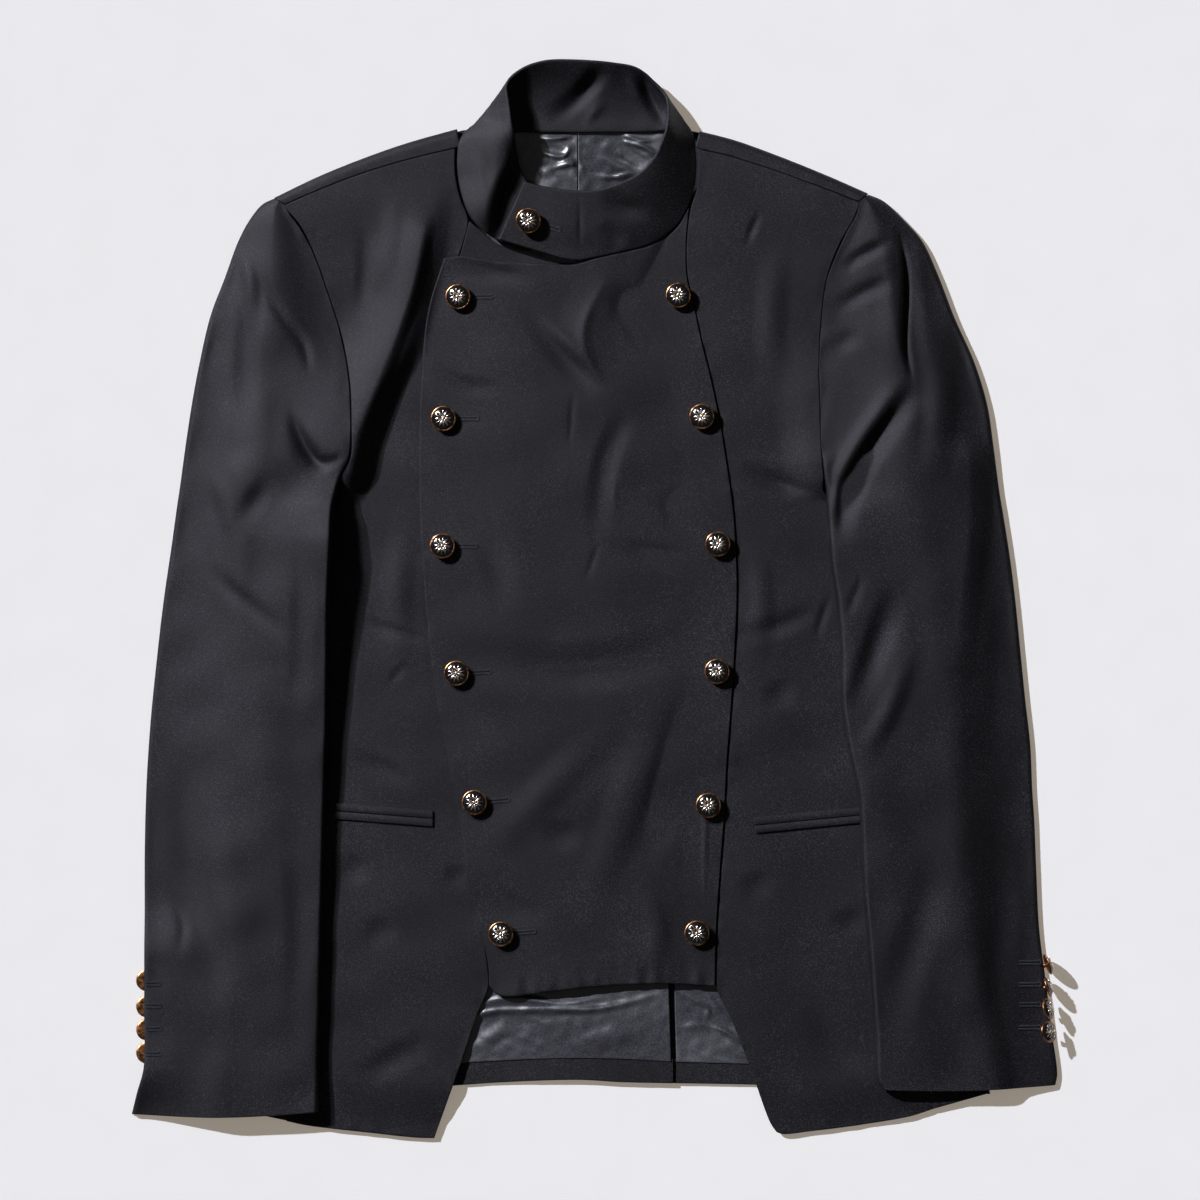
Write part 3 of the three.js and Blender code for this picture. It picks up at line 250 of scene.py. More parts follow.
PLASTRON_CREASES = [
    ([(-107, 234, 0), (-74, 230, -1.1), (-40, 224, 0)], 8, 11, 0),
    crease((-52, 204), (-19, 167), (4, 146), -1.4, 12, 0.2),
    crease((-36, 196), (-14, 176), (6, 150), 0.9, 8),
    crease((11, 230), (-8, 186), (6, 150), 0.9, 8, 0.5),
    crease((30, 222), (24, 208), (22, 190), -1.3, 18),
    crease((-113, 164), (-92, 150), (-64, 149), -0.8, 9),
    crease((-14, 147), (-16, 126), (-17, 105), -0.5, 3.5, 0.7),
    crease((25, 134), (8, 97), (1, 42), -1.3, 12, 0.1),
    crease((52, 78), (59, 66), (66, 52), -0.9, 17),
    crease((12, 41), (45, 30), (74, 25), -1.1, 11),
    crease((4, 42), (-1, 27), (-6, 12), -0.5, 3.5, 0.7),
    crease((15, 84), (14, 72), (15, 60), 0.4, 3, 0.5),
    crease((18, -85), (-30, -130), (-76, -180), 0.9, 17),
    crease((-20, -154), (-23, -164), (-28, -176), -0.9, 18),
    crease((78, -82), (78, -170), (76, -256), 0.8, 6),
    crease((-96, 60), (-70, 30), (-62, -10), -0.9, 16),
    crease((-84, -190), (-60, -214), (-30, -222), -0.8, 14),
    crease((30, -200), (44, -228), (40, -262), 0.8, 13),
]
LEFT_FRONT_CREASES = [
    crease((117, 272), (111, 260), (106, 247), -0.8, 5, 0.4),
    crease((104, 93), (134, 80), (160, 74), -1, 9, 0.2),
    crease((101, -25), (130, -18), (157, -7), -1, 10, 0.1),
    crease((155, -28), (160, -12), (166, 4), -0.7, 5, 0.5),
    crease((128, -56), (130, -66), (130, -78), -0.8, 15),
    crease((112, -190), (114, -200), (116, -212), -0.8, 15),
    crease((178, -215), (180, -226), (180, -238), -0.8, 16),
    crease((128, 250), (124, 200), (126, 150), 0.9, 14),
    crease((150, -280), (168, -310), (196, -330), -0.8, 14),
    crease((112, 40), (118, 0), (112, -50), 0.7, 12),
]
RIGHT_SLEEVE_CREASES = [
    crease((-247, 252), (-241, 222), (-239, 186), 1.3, 8),
    ([(-239, 237, 0), (-218, 198, -1.2), (-203, 178, -1.2), (-199, 158, 0)], 7, 7, 0.4),
    crease((-225, 88), (-238, 68), (-248, 50), -1.1, 11),
    crease((-264, 90), (-258, 68), (-254, 46), 1, 10),
    crease((-272, 23), (-246, 0), (-213, -26), -0.9, 5, 0.6),
    crease((-266, -47), (-238, -48), (-212, -45), -0.6, 4, 0.6),
    crease((-306, -190), (-288, -226), (-291, -248), -1, 7, 0.3),
    crease((-236, 60), (-232, -60), (-226, -190), 0.5, 24),
    crease((-262, -120), (-256, -210), (-240, -300), 0.5, 22),
    crease((-206, 60), (-204, 0), (-208, -90), -0.9, 11),
    crease((-212, -150), (-206, -230), (-210, -310), -0.8, 13),
    ([(-213, 134, 0), (-204, 112, -2.2), (-191, 96, -2.4), (-172, 101, 0)], 6, 8, 0.3),
]
LEFT_SLEEVE_CREASES = [
    ([(209, 252, 0), (196, 245, -1.8), (183, 238, -1.3), (176, 230, 0)], 7, 8, 0.2),
    ([(212, 224, 0), (190, 215, -2), (168, 203, 0)], 6, 9, 0.2),
    crease((188, 187), (176, 181), (164, 175), -1.1, 9, 0.1),
    ([(214, 260, 0), (219, 228, -1.6), (218, 180, -1.6), (223, 152, 0)], 4, 4, 0.5),
    ([(209, 262, 0), (214, 226, 1.5), (213, 180, 1.6), (219, 154, 0)], 5, 18, 0.1),
    ([(221, 153, 0), (203, 130, 2.4), (185, 104, 3), (174, 84, 3), (167.5, 62, 2), (164, 42, 0)],
     7, 14, 0.1),
    crease((237, 194), (243, 134), (236, 78), 1.6, 15),
    crease((166, 14), (170, 0), (175, -14), -1, 4.5, 0.5),
    crease((175, -14), (182, 2), (189, 17), -1, 4.5, 0.5),
    crease((224, -27), (204, -82), (185, -110), 1.5, 11),
    crease((235, -55), (268, -53), (301, -50), -0.6, 4, 0.6),
    crease((204, -120), (218, -124), (233, -129), -0.6, 4, 0.6),
    crease((262, 40), (268, -40), (262, -130), 0.9, 18),
    crease((280, -150), (284, -230), (276, -310), -0.9, 16),
    crease((252, 240), (262, 190), (262, 130), -1, 13),
]
COLLAR_FOLDS = [
    ([(8, 374, 0), (-2, 360, -2.8), (-16, 346, -2), (-32, 336, 0)], 8, 12, 0.1),
    ([(34, 372, 0), (38, 356, -2), (46, 340, -1), (49, 330, 0)], 5, 8, 0.2),
    crease((22, 372), (30, 356), (40, 344), 1.4, 6, 0.2),
    crease((-10, 285), (-10, 262), (-10, 244), -0.5, 3, 0.6),
    crease((6, 282), (22, 274), (40, 272), -1.3, 11),
    crease((4, 262), (14, 256), (22, 246), -0.9, 9),
    crease((-78, 316), (-74, 300), (-72, 282), -0.9, 6, 0.1),
    crease((8, 350), (0, 342), (-6, 332), 0.9, 6, 0.1),
]
NECK_LINING_FOLDS = [
    crease((12, 328), (26, 312), (38, 306), -1.5, 4, 0.2),
    crease((14, 322), (34, 318), (44, 312), 1.2, 3, 0.3),
    crease((-38, 314), (-22, 311), (-16, 318), 1.1, 3, 0.3),
    crease((-36, 300), (-14, 306), (-6, 300), 1, 4, 0.3),
    ([(-6, 322, 0), (14, 306, 1.2), (32, 298, 0)], 5, 7, 0.2),
    ([(-6, 300, 0), (12, 296, 0.9), (34, 302, 0)], 3, 4, 0.3),
    crease((-40, 323), (-24, 324), (-14, 326), 1, 3, 0.3),
    crease((20, 326), (32, 322), (44, 323), 0.9, 2.5, 0.3),
]
HEM_LINING_FOLDS = [
    ([(-96, -288, 0), (-60, -279, 1), (-20, -283, 0.8), (16, -276, 0)], 4, 7, 0.3),
    ([(-100, -300, 0), (-76, -289, 1), (-40, -287, 0.9), (4, -286, 1), (50, -275, 0)], 4, 5, 0.4),
    ([(-20, -312, 0), (10, -306, 1), (34, -301, 0)], 10, 12, 0),
    crease((-84, -318), (-70, -304), (-50, -296), 0.7, 8),
    ([(58, -272, 0), (70, -280, 0.9), (80, -286, 0.7), (78, -296, 0)], 4, 4, 0.3),
    ([(78, -274, 0), (86, -286, 0.9), (98, -296, 0)], 4, 5, 0.3),
    ([(80, -298, 0), (92, -302, 1), (104, -312, 0)], 3, 4, 0.3),
    ([(60, -300, 0), (70, -298, 0.7), (82, -300, 0)], 4, 6, 0.2),
]


# Heights of the fronts
RIGHT_SHOULDER = (-217.7, 276.5, -0.311, 0.95)
LEFT_SHOULDER = (73.2, 315.7, 0.313, 0.95)
RIGHT_RISE = (-200, -120)
LEFT_FALL = 90
SEAM_SHELF = 12
OVERLAP_COPY = 30
UNDULATION = 0.55
SWELL_WAVES = (38, 120)
CREASE_DEPTH = 1.5
HEM_DROP = 2.4
HEM_DROP_START = -334
HEM_DROP_REACH = 36


def hem_drop(y):
    """How far the fronts and the side bodies sink where the back ends under them"""
    return HEM_DROP * smooth((HEM_DROP_START - y) / HEM_DROP_REACH)


def shoulder_rise(base, shoulder, x, y):
    place_x, place_y, normal_x, normal_y = shoulder
    below = -((x - place_x) * normal_x + (y - place_y) * normal_y)
    return (SHOULDER_HEIGHT - base) * smooth(1 - below / SHOULDER_FALL)


def relief(x, y):
    """Slow swells that all the layers of the front share"""
    return UNDULATION * waves(x, y, *SWELL_WAVES, SEEDS["swells"])


def right_front_plain(x, y):
    across = smooth((x - RIGHT_RISE[0]) / (RIGHT_RISE[1] - RIGHT_RISE[0]))
    base = SIDE_FOLD_HEIGHT + SEAM_RISE_RIGHT * across
    return base + shoulder_rise(base, RIGHT_SHOULDER, x, y) + folds_at(RIGHT_FRONT_FOLDS, x, y)


def creases_at(creases, x, y):
    return CREASE_DEPTH * folds_at(creases, x, y)


def right_front_top(x, y):
    swells = relief(x, y) - hem_drop(y)
    return right_front_plain(x, y) + swells + creases_at(RIGHT_FRONT_CREASES, x, y)


PLASTRON_RIGHT_SEAM = [
    (66.5, 275), (64.4, 249.9), (65.1, 226.1), (69.3, 208.6), (74.9, 182.7), (81.9, 154.7),
    (88.2, 124.6), (93.1, 94.5), (97.3, 64.4), (99.4, 34.3), (100.1, 4.2), (98.4, -36.4),
    (96.3, -70), (93.1, -112), (91, -153.3), (87.9, -193.9), (85.4, -235.2), (84.7, -270.9),
]


def left_front_plain(x, y):
    from_seam = (x - edge_at(PLASTRON_RIGHT_SEAM, y)) / LEFT_FALL
    base = mix(SEAM_HEIGHT_LEFT, SIDE_FOLD_HEIGHT, smooth(from_seam))
    return base + shoulder_rise(base, LEFT_SHOULDER, x, y) + folds_at(LEFT_FRONT_FOLDS, x, y)


def left_front_top(x, y):
    swells = relief(x, y) - hem_drop(y)
    return left_front_plain(x, y) + swells + creases_at(LEFT_FRONT_CREASES, x, y)


UNDERLAP = {
    "left": [(-87.2, 265.5), (-93.7, 241.5), (-101.2, 217), (-109.5, 182), (-114.4, 126),
             (-115.6, 63), (-113.6, 4), (-109.8, -35), (-103.5, -70), (-96.5, -112),
             (-83.2, -194), (-72.8, -266)],
    "right": [(5.6, 235.5), (46.2, 210), (74.2, 126), (82.6, 63), (84, 4.2), (79.8, -70),
              (77, -112), (72.8, -193.9), (70, -262.5)],
    "top": [(-87.2, 265.5), (-67.2, 249.6), (-44.8, 241), (-26.6, 236.6), (5.6, 235.5)],
    "bottom": [(-72.8, -266), (-2, -264), (70, -262.5)],
}
PLASTRON = {
    "left": [(-105, 239.4), (-115.5, 205.1), (-119.7, 175), (-122.2, 124.6), (-122.5, 84),
             (-120.4, 28), (-116.9, -16.1), (-110.6, -70), (-102.2, -112), (-95.9, -147),
             (-88.9, -187.6), (-80.5, -226.8), (-74.2, -255.5), (-73.5, -270.2)],
    "right": PLASTRON_RIGHT_SEAM,
    "top": [(-105, 239.4), (-91.7, 240.8), (-69.3, 237.3), (-42, 236), (-14, 235), (2.1, 239.5),
            (21, 243.7), (40.6, 248.8), (57.4, 260), (66.5, 275)],
    "bottom": [(-73.5, -270.2), (-66.2, -277.2), (-31.5, -274.4), (-0.7, -270.9),
               (51.1, -268.8), (84.7, -270.9)],
}


def underlap_plain(x, y):
    start = edge_at(UNDERLAP["left"], y) + SEAM_SHELF
    end = edge_at(UNDERLAP["right"], y)
    return mix(right_front_plain(x, y), HIDDEN_EDGE_HEIGHT, smooth((x - start) / (end - start)))


def underlap_top(x, y):
    return underlap_plain(x, y) + relief(x, y)


def plastron_top(x, y):
    start = edge_at(PLASTRON["left"], y)
    end = edge_at(PLASTRON["right"], y)
    across = np.clip((x - start) / (end - start), 0, 1)
    overlapped = right_front_plain(np.minimum(x, start + OVERLAP_COPY), y) + PLASTRON_STEP
    flush = left_front_plain(np.maximum(x, end), y)
    crown = PLASTRON_CROWN * np.sin(math.pi * across)
    height = mix(overlapped, flush, smooth(across)) + crown + folds_at(PLASTRON_FOLDS, x, y)
    creases = creases_at(PLASTRON_CREASES, x, y)
    lowest = underlap_plain(x, y) + PLASTRON_STEP + LEAST_CLEARANCE
    return np.maximum(height + creases, lowest) + relief(x, y)


# Meshes from grids of places. Rows run down and columns run from left to right.
RIM_STEPS = np.array([0, 0.06, 0.18, 0.4, 0.8, 1.5])
RIM_MARGIN = 1.6
EDGE_ROUNDING = 0.46
SEAM_RADIUS = 0.38
PUCKER_REACH = 6
PUCKER_WAVES = (9, 24)


def spaced(count, length, rim):
    """Shares from 0 to 1, closer near both ends, where the edge is rounded"""
    near = RIM_STEPS * rim / length
    start = RIM_MARGIN * near[-1]
    even = np.linspace(0, 1, max(3, int(count * DETAIL)) + 1)
    inner = even[(even > start) & (even < 1 - start)]
    return np.concatenate([near, inner, 1 - near[::-1]])


def fill_edges(edges, us, vs):
    """Places that fill four edges, and their distance to each edge in millimetres"""
    lines = {side: Line(points) for side, points in edges.items()}
    left, right = (lines[side].along(vs)[:, None, :] for side in ("left", "right"))
    top, bottom = (lines[side].along(us)[None, :, :] for side in ("top", "bottom"))
    u, v = us[None, :, None], vs[:, None, None]
    corners = mix(mix(left[:1], right[:1], u), mix(left[-1:], right[-1:], u), v)
    grid = mix(top, bottom, v) + mix(left, right, u) - corners
    width = np.linalg.norm(right - left, axis=2)
    height = np.linalg.norm(bottom - top, axis=2)
    distances = {
        "left": us[None, :] * width,
        "right": (1 - us[None, :]) * width,
        "top": vs[:, None] * height,
        "bottom": (1 - vs[:, None]) * height,
    }
    return grid, distances


def round_drop(distance, radius):
    """How far a round edge lies below its face"""
    d = np.clip(distance, 0, radius)
    return radius - np.sqrt(radius * radius - (radius - d) ** 2)


def normals_of(grid):
    across = np.gradient(grid, axis=1)
    down = np.gradient(grid, axis=0)
    normal = np.cross(down, across)
    return normal / np.maximum(np.linalg.norm(normal, axis=2, keepdims=True), 1e-9)


def make_object(name, points, faces, materials, material_of=None):
    mesh = bpy.data.meshes.new(name)
    places = np.array(points, float).reshape(-1, 3) - (ORIGIN[0], ORIGIN[1], 0)
    mesh.from_pydata((places * MM).tolist(), [], faces)
    for material in materials:
        mesh.materials.append(material)
    if material_of is not None:
        mesh.polygons.foreach_set("material_index", material_of)
    mesh.polygons.foreach_set("use_smooth", [True] * len(mesh.polygons))
    mesh.update()
    piece = bpy.data.objects.new(name, mesh)
    bpy.context.scene.collection.objects.link(piece)
    return piece


def wall_faces(rows, columns):
    index = np.arange(rows * columns).reshape(rows, columns)
    a, b, c, d = index[:-1, :-1], index[:-1, 1:], index[1:, :-1], index[1:, 1:]
    behind = rows * columns
    outer = np.stack([a, c, d, b], -1).reshape(-1, 4)
    inner = np.stack([a, b, d, c], -1).reshape(-1, 4) + behind
    rim = np.concatenate([index[0, :-1], index[:-1, -1], index[-1, :0:-1], index[:0:-1, 0]])
    following = np.roll(rim, -1)
    side = np.stack([rim, following, following + behind, rim + behind], -1)
    return np.concatenate([outer, inner, side]).tolist()


def make_wall(name, grid, thickness, material, free, sewn=None, square=False):
    """A closed cloth wall under a grid. free and sewn are the distances to its folded edges,
    which are round, and to its seams, which have a fine groove."""
    direction = normals_of(grid) if square else np.zeros_like(grid) + (0, 0, 1)
    drop = round_drop(free, EDGE_ROUNDING * thickness)[..., None]
    if sewn is not None:
        drop = np.maximum(drop, round_drop(sewn, SEAM_RADIUS)[..., None])
    outer = grid - direction * drop
    inner = grid - direction * (thickness - drop)
    points = np.concatenate([outer.reshape(-1, 3), inner.reshape(-1, 3)])
    return make_object(name, points, wall_faces(*grid.shape[:2]), [material])


def nearest_edge(distances, *sides):
    return np.minimum.reduce([distances[side] + 0 * distances["left"] * distances["top"]
                              for side in sides or ("left", "right", "top", "bottom")])


def pucker(x, y, distance, amount, seed):
    """Small waves that a seam draws into the cloth beside it"""
    fade = np.exp(-((distance / PUCKER_REACH) ** 2))
    return amount * fade * waves(x, y, *PUCKER_WAVES, SEEDS[seed])


# Materials
class Look:
    """A material, with the nodes that feed its shader"""

    def __init__(self, name, values):
        self.material = bpy.data.materials.new(name)
        self.material.use_nodes = True
        self.tree = self.material.node_tree
        self.shader = self.tree.nodes["Principled BSDF"]
        self.place = self.node("TexCoord").outputs["Object"]
        for socket, value in values.items():
            self.shader.inputs[socket].default_value = value

    def feed(self, socket, value):
        """Links a socket to another one, or sets it to a value"""
        if isinstance(value, bpy.types.NodeSocket):
            self.tree.links.new(value, socket)
        else:
            socket.default_value = value

    def node(self, kind, **inputs):
        node = self.tree.nodes.new(f"ShaderNode{kind}")
        for name, value in inputs.items():
            self.feed(node.inputs[name], value)
        return node

    def noise(self, scale, detail, roughness=0.5):
        node = self.node("TexNoise", Vector=self.place, Scale=scale, Detail=detail,
                         Roughness=roughness)
        return node.outputs["Fac"]

    def colour(self, factor, *stops):
        """Colours the material by a factor, between stops of (position, colour)"""
        ramp = self.node("ValToRGB", Fac=factor)
        elements = ramp.color_ramp.elements
        for element, (position, colour) in zip(elements, stops[:2]):
            element.position = position
            element.color = (*colour, 1)
        for position, colour in stops[2:]:
            elements.new(position).color = (*colour, 1)
        self.feed(self.shader.inputs["Base Color"], ramp.outputs["Color"])

    def math(self, operation, *values):
        node = self.node("Math")
        node.operation = operation
        for socket, value in zip(node.inputs, values):
            self.feed(socket, value)
        return node.outputs[0]

    def blend(self, a, share_a, b, share_b):
        return self.math("ADD", self.math("MULTIPLY", a, share_a),
                         self.math("MULTIPLY", b, share_b))

    def bump(self, height, strength, distance):
        node = self.node("Bump", Height=height, Strength=strength, Distance=distance)
        self.feed(self.shader.inputs["Normal"], node.outputs["Normal"])


def twill_material(name, dark, pale, speck, rib_angle=52):
    """Wool twill: speckled yarn, diagonal ribs and a soft nap"""
    look = Look(name, {"Roughness": 0.6, "Specular IOR Level": 0.21,
                       "Specular Tint": (1, 0.93, 1, 1)})
    turned = look.node("Mapping", Vector=look.place, Rotation=(0, 0, math.radians(rib_angle)))
    yarn = look.noise(1150, 2, 0.75)
    blotch = look.noise(16, 3)
    ribs = look.node("TexWave", Vector=turned.outputs["Vector"], Scale=340, Distortion=1.2,
                     Detail=1)
    look.colour(look.blend(yarn, 0.8, blotch, 0.2), (0.4, dark), (0.66, speck), (0.53, pale))
    look.bump(look.blend(yarn, 0.75, ribs.outputs["Fac"], 0.25), 0.7, 0.0005)
    return look.material


def satin_material():
    look = Look("satin", {"Roughness": 0.37, "Specular IOR Level": 1, "Anisotropic": 0.5})
    yarn = look.noise(900, 2, 0.7)
    ripple = look.noise(120, 3)
    look.colour(yarn, (0.35, (0.025, 0.024, 0.031)), (0.7, (0.085, 0.08, 0.095)))
    look.bump(look.blend(yarn, 0.3, ripple, 1), 0.3, 0.0009)
    return look.material


def metal_material(name, low, high, roughness):
    look = Look(name, {"Metallic": 1})
    patina = look.noise(420, 4, 0.6)
    look.colour(patina, (0.38, low), (0.6, high))
    look.feed(look.shader.inputs["Roughness"], look.math("MULTIPLY_ADD", patina, 0.25, roughness))
    look.bump(patina, 0.15, 0.0002)
    return look.material


def enamel_material():
    look = Look("black_enamel", {"Roughness": 0.16, "Coat Weight": 0.8, "Coat Roughness": 0.05})
    cloud = look.noise(260, 2)
    look.colour(cloud, (0.3, (0.003, 0.003, 0.004)), (0.7, (0.009, 0.008, 0.01)))
    look.bump(cloud, 0.05, 0.0002)
    return look.material


def paper_material():
    # The floor glows faintly in a warm tone: painted fill light that lifts the floor's shadows and
    # lights the cloth beside it from below
    look = Look("pale_paper", {"Roughness": 1, "Specular IOR Level": 0,
                               "Emission Color": FLOOR_FILL_GLOW, "Emission Strength": 1})
    look.colour(look.noise(30, 3), (0.3, (0.8, 0.8, 0.815)), (0.7, (0.815, 0.815, 0.83)))
    return look.material


TWILL = twill_material("twill", (0.0008, 0.0009, 0.001), (0.0032, 0.0028, 0.0036),
                       (0.046, 0.041, 0.052))
SATIN = satin_material()
THREAD = twill_material("thread", (0.012, 0.013, 0.018), (0.03, 0.032, 0.042), (0.06, 0.064, 0.08))
COPPER = metal_material("antique_copper", (0.1, 0.04, 0.014), (0.56, 0.26, 0.115), 0.22)
SILVER = metal_material("worn_silver", (0.62, 0.47, 0.36), (0.97, 0.9, 0.82), 0.12)
ENAMEL = enamel_material()


def dress(piece, node):
    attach(piece, "root")
    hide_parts(node)
    return piece


# Back panels
CENTRE_TOP = (-11.2, 329.3)
CENTRE_HEM = (18.2, -338)
CENTRE_LINE = [CENTRE_TOP, CENTRE_HEM]
RIGHT_BACK = {
    "left": [(-217.5, 276), (-205.8, 238), (-195.3, 196), (-191.8, 154), (-198.3, 112),
             (-203.7, 85.4), (-206, 70), (-203.3, 50), (-198.6, 28), (-188.3, -35), (-183.4, -98),
             (-183.4, -154), (-184.8, -210), (-186.2, -266), (-184.8, -348.6)],
    "right": [CENTRE_TOP, (-2.7, 122), (5.9, -70), (8, -128), (24, -150), (46, -166), (52, -200),
              (53.2, -270), (55.3, -338.8)],
    "top": [(-217.5, 276), (-172, 296), (-130, 311.5), (-108, 322), (-94, 329), (-60, 329.3),
            CENTRE_TOP],
    "bottom": [(-184.8, -348.6), (-142.8, -343.7), (-98, -340.5), (-62.3, -338.1),
               (-10.5, -336.4), (18.2, -338), (55.3, -338.8)],
}
LEFT_BACK = {
    "left": [(-10.7, 329.3), (2.5, 30), (18.6, -338)],
    "right": [(188, 277), (174.5, 238), (163.5, 196), (161.5, 154), (165, 112), (172, 89), (190, 74),
              (206, 66.5), (218, 60), (219, 46), (216.7, 17.5), (207, -36.4), (202.2, -94.5),
              (202.2, -153.3), (203.7, -210), (205.1, -262.5), (205.1, -343)],
    "top": [(-10.7, 329.3), (68, 329), (84, 324), (103, 316), (131, 303), (160, 291), (188, 277)],
    "bottom": [(18.6, -338), (56, -338.8), (113.4, -339.9), (205.1, -343)],
}
RIGHT_STRIP = (
    [(-224, 281.8), (-193.5, 296.5), (-161.5, 309.5), (-130.5, 320.3), (-96, 330)],
    [(-217.4, 277.2), (-187.4, 290.1), (-156.6, 301.3), (-126.5, 310.1), (-93, 318)],
)
LEFT_STRIP = (
    [(74, 328.5), (98, 322.3), (129.5, 311), (163.5, 297.3), (192, 284.8)],
    [(71, 317.2), (94.8, 311.5), (125.6, 301.7), (160.6, 289.1), (186.3, 279.2)],
)
TURN_UP_WALL = 0.8
TURN_UP_HEIGHT = 17
TURN_UP_RIPPLE = 0.12
TURN_UP_SINK = 0.5
SHOULDER_SEAM_CLOSE = 0.6
SHOULDER_TUCK = 9
SHOULDER_WALL = 1.2
SHOULDER_PUCKER = 0.25
SHOULDER_COLUMNS = 90


def vent_lift(x, y):
    over_centre = smooth((x - edge_at(CENTRE_LINE, y) + VENT_OVERLAP) / VENT_RAMP)
    return VENT_LIFT * over_centre * smooth((VENT_TOP - y) / VENT_RISE_LENGTH + 1)


def no_lift(x, y):
    return np.zeros_like(x)


def raised(grid, heights):
    return np.concatenate([grid, heights[..., None]], axis=2)


def shoulder_strip(fold, seam):
    """A grid that rolls over the shoulder, from under the back panel to the front seam"""
    stations = np.linspace(0, 1, int(SHOULDER_COLUMNS * DETAIL) + 1)
    radius = (SHOULDER_HEIGHT - LEAST_CLEARANCE) / 2
    folded = Line(fold).at(stations)
    seamed = Line(seam).at(stations)
    inward = (seamed - folded) / np.linalg.norm(seamed - folded, axis=1, keepdims=True)
    seamed = seamed + SHOULDER_SEAM_CLOSE * inward
    rows = []

    def place(distance, z):
        points = folded + inward * distance
        rows.append(np.column_stack([points, np.full(len(points), z)]))

    place(radius + SHOULDER_TUCK, LEAST_CLEARANCE)
    for angle in np.linspace(0, math.pi, 15):
        place(radius * (1 - math.sin(angle)), LEAST_CLEARANCE + radius * (1 - math.cos(angle)))
    arc_end = folded + inward * radius
    for share in (0.3, 0.6, 0.8, 0.9, 0.96, 1):
        points = mix(arc_end, seamed, share)
        rows.append(np.column_stack([points, np.full(len(points), SHOULDER_HEIGHT)]))
    return np.array(rows)


def joined(name, pieces):
    """One object from several, which are deleted"""
    first = pieces[0]
    with bpy.context.temp_override(active_object=first, selected_editable_objects=pieces):
        bpy.ops.object.join()
    first.name = name
    return first


def make_turn_up(side, bottom, lift):
    """The hem that is turned up, as a strip on the back panel"""
    shares = spaced(60, TURN_UP_LENGTH[side], 1)
    rise = TURN_UP_HEIGHT * (1 - spaced(6, TURN_UP_HEIGHT, 1))[:, None]
    grid = Line(bottom).along(shares)[None] + np.array([0.0, 1.0]) * rise[..., None]
    x, y = grid[..., 0], grid[..., 1]
    height = BACK_WALL + TURN_UP_WALL + lift(x, y)
    height += TURN_UP_RIPPLE * waves(x, y, 12, 40, SEEDS["turn_up"])
    return make_wall(f"back_{side}_turn_up", raised(grid, height), TURN_UP_WALL + TURN_UP_SINK,
                     TWILL, rise + 0 * height)


def make_back(side, edges, strip, lift):
    us = spaced(40, BACK_WIDTH, 2)
    vs = spaced(100, BACK_LENGTH, 2)
    grid, distances = fill_edges(edges, us, vs)
    x, y = grid[..., 0], grid[..., 1]
    edge = nearest_edge(distances)
    panel = make_wall(f"back_{side}_panel", raised(grid, BACK_WALL + lift(x, y)), BACK_WALL,
                      TWILL, edge)
    rolled = shoulder_strip(*strip)
    to_seam = np.linalg.norm(rolled - rolled[-1:], axis=2)
    rolled[..., 2] += pucker(rolled[..., 0], rolled[..., 1], to_seam, SHOULDER_PUCKER, "shoulder")
    shoulder = make_wall(f"back_{side}_shoulder", rolled, SHOULDER_WALL, TWILL,
                         to_seam + SHOULDER_TUCK, to_seam, True)
    turn_up = make_turn_up(side, edges["bottom"], lift)
    piece = joined(f"back_{side}_cloth", [panel, shoulder, turn_up])
    return dress(piece, f"back_{side}")


# Side bodies: rows of y, and the x of the front seam, the fold and the back seam
RIGHT_SIDE = [
    (52, -219.2, -240.4, -205), (28, -217.4, -236.6, -199.2), (-35, -211.8, -228.2, -188.7),
    (-98, -207.6, -223.3, -183.8), (-154, -206.2, -225.4, -183.8), (-210, -209, -232.4, -185.2),
    (-266, -213.2, -242.2, -186.6), (-322, -214.9, -250, -185.6), (-365, -216, -256.2, -185.2),
]
RIGHT_SIDE_ENDS = (-357, -348.8)
SIDE_SEAM_CLOSE = 0.38
LEFT_SIDE = [
    (57, 239.6, 259.3, 223.6), (17.5, 234.6, 254.8, 218.1), (-36.4, 227.2, 246.4, 207.6),
    (-94.5, 225.8, 242.2, 202.7), (-153.3, 227.2, 245, 202.7), (-210, 230, 252, 204.1),
    (-262.5, 232.8, 260.4, 205.5), (-323.4, 235.6, 272.3, 206.2), (-357, 237.7, 277.9, 205.5),
]
LEFT_SIDE_ENDS = (-346.2, -343.2)


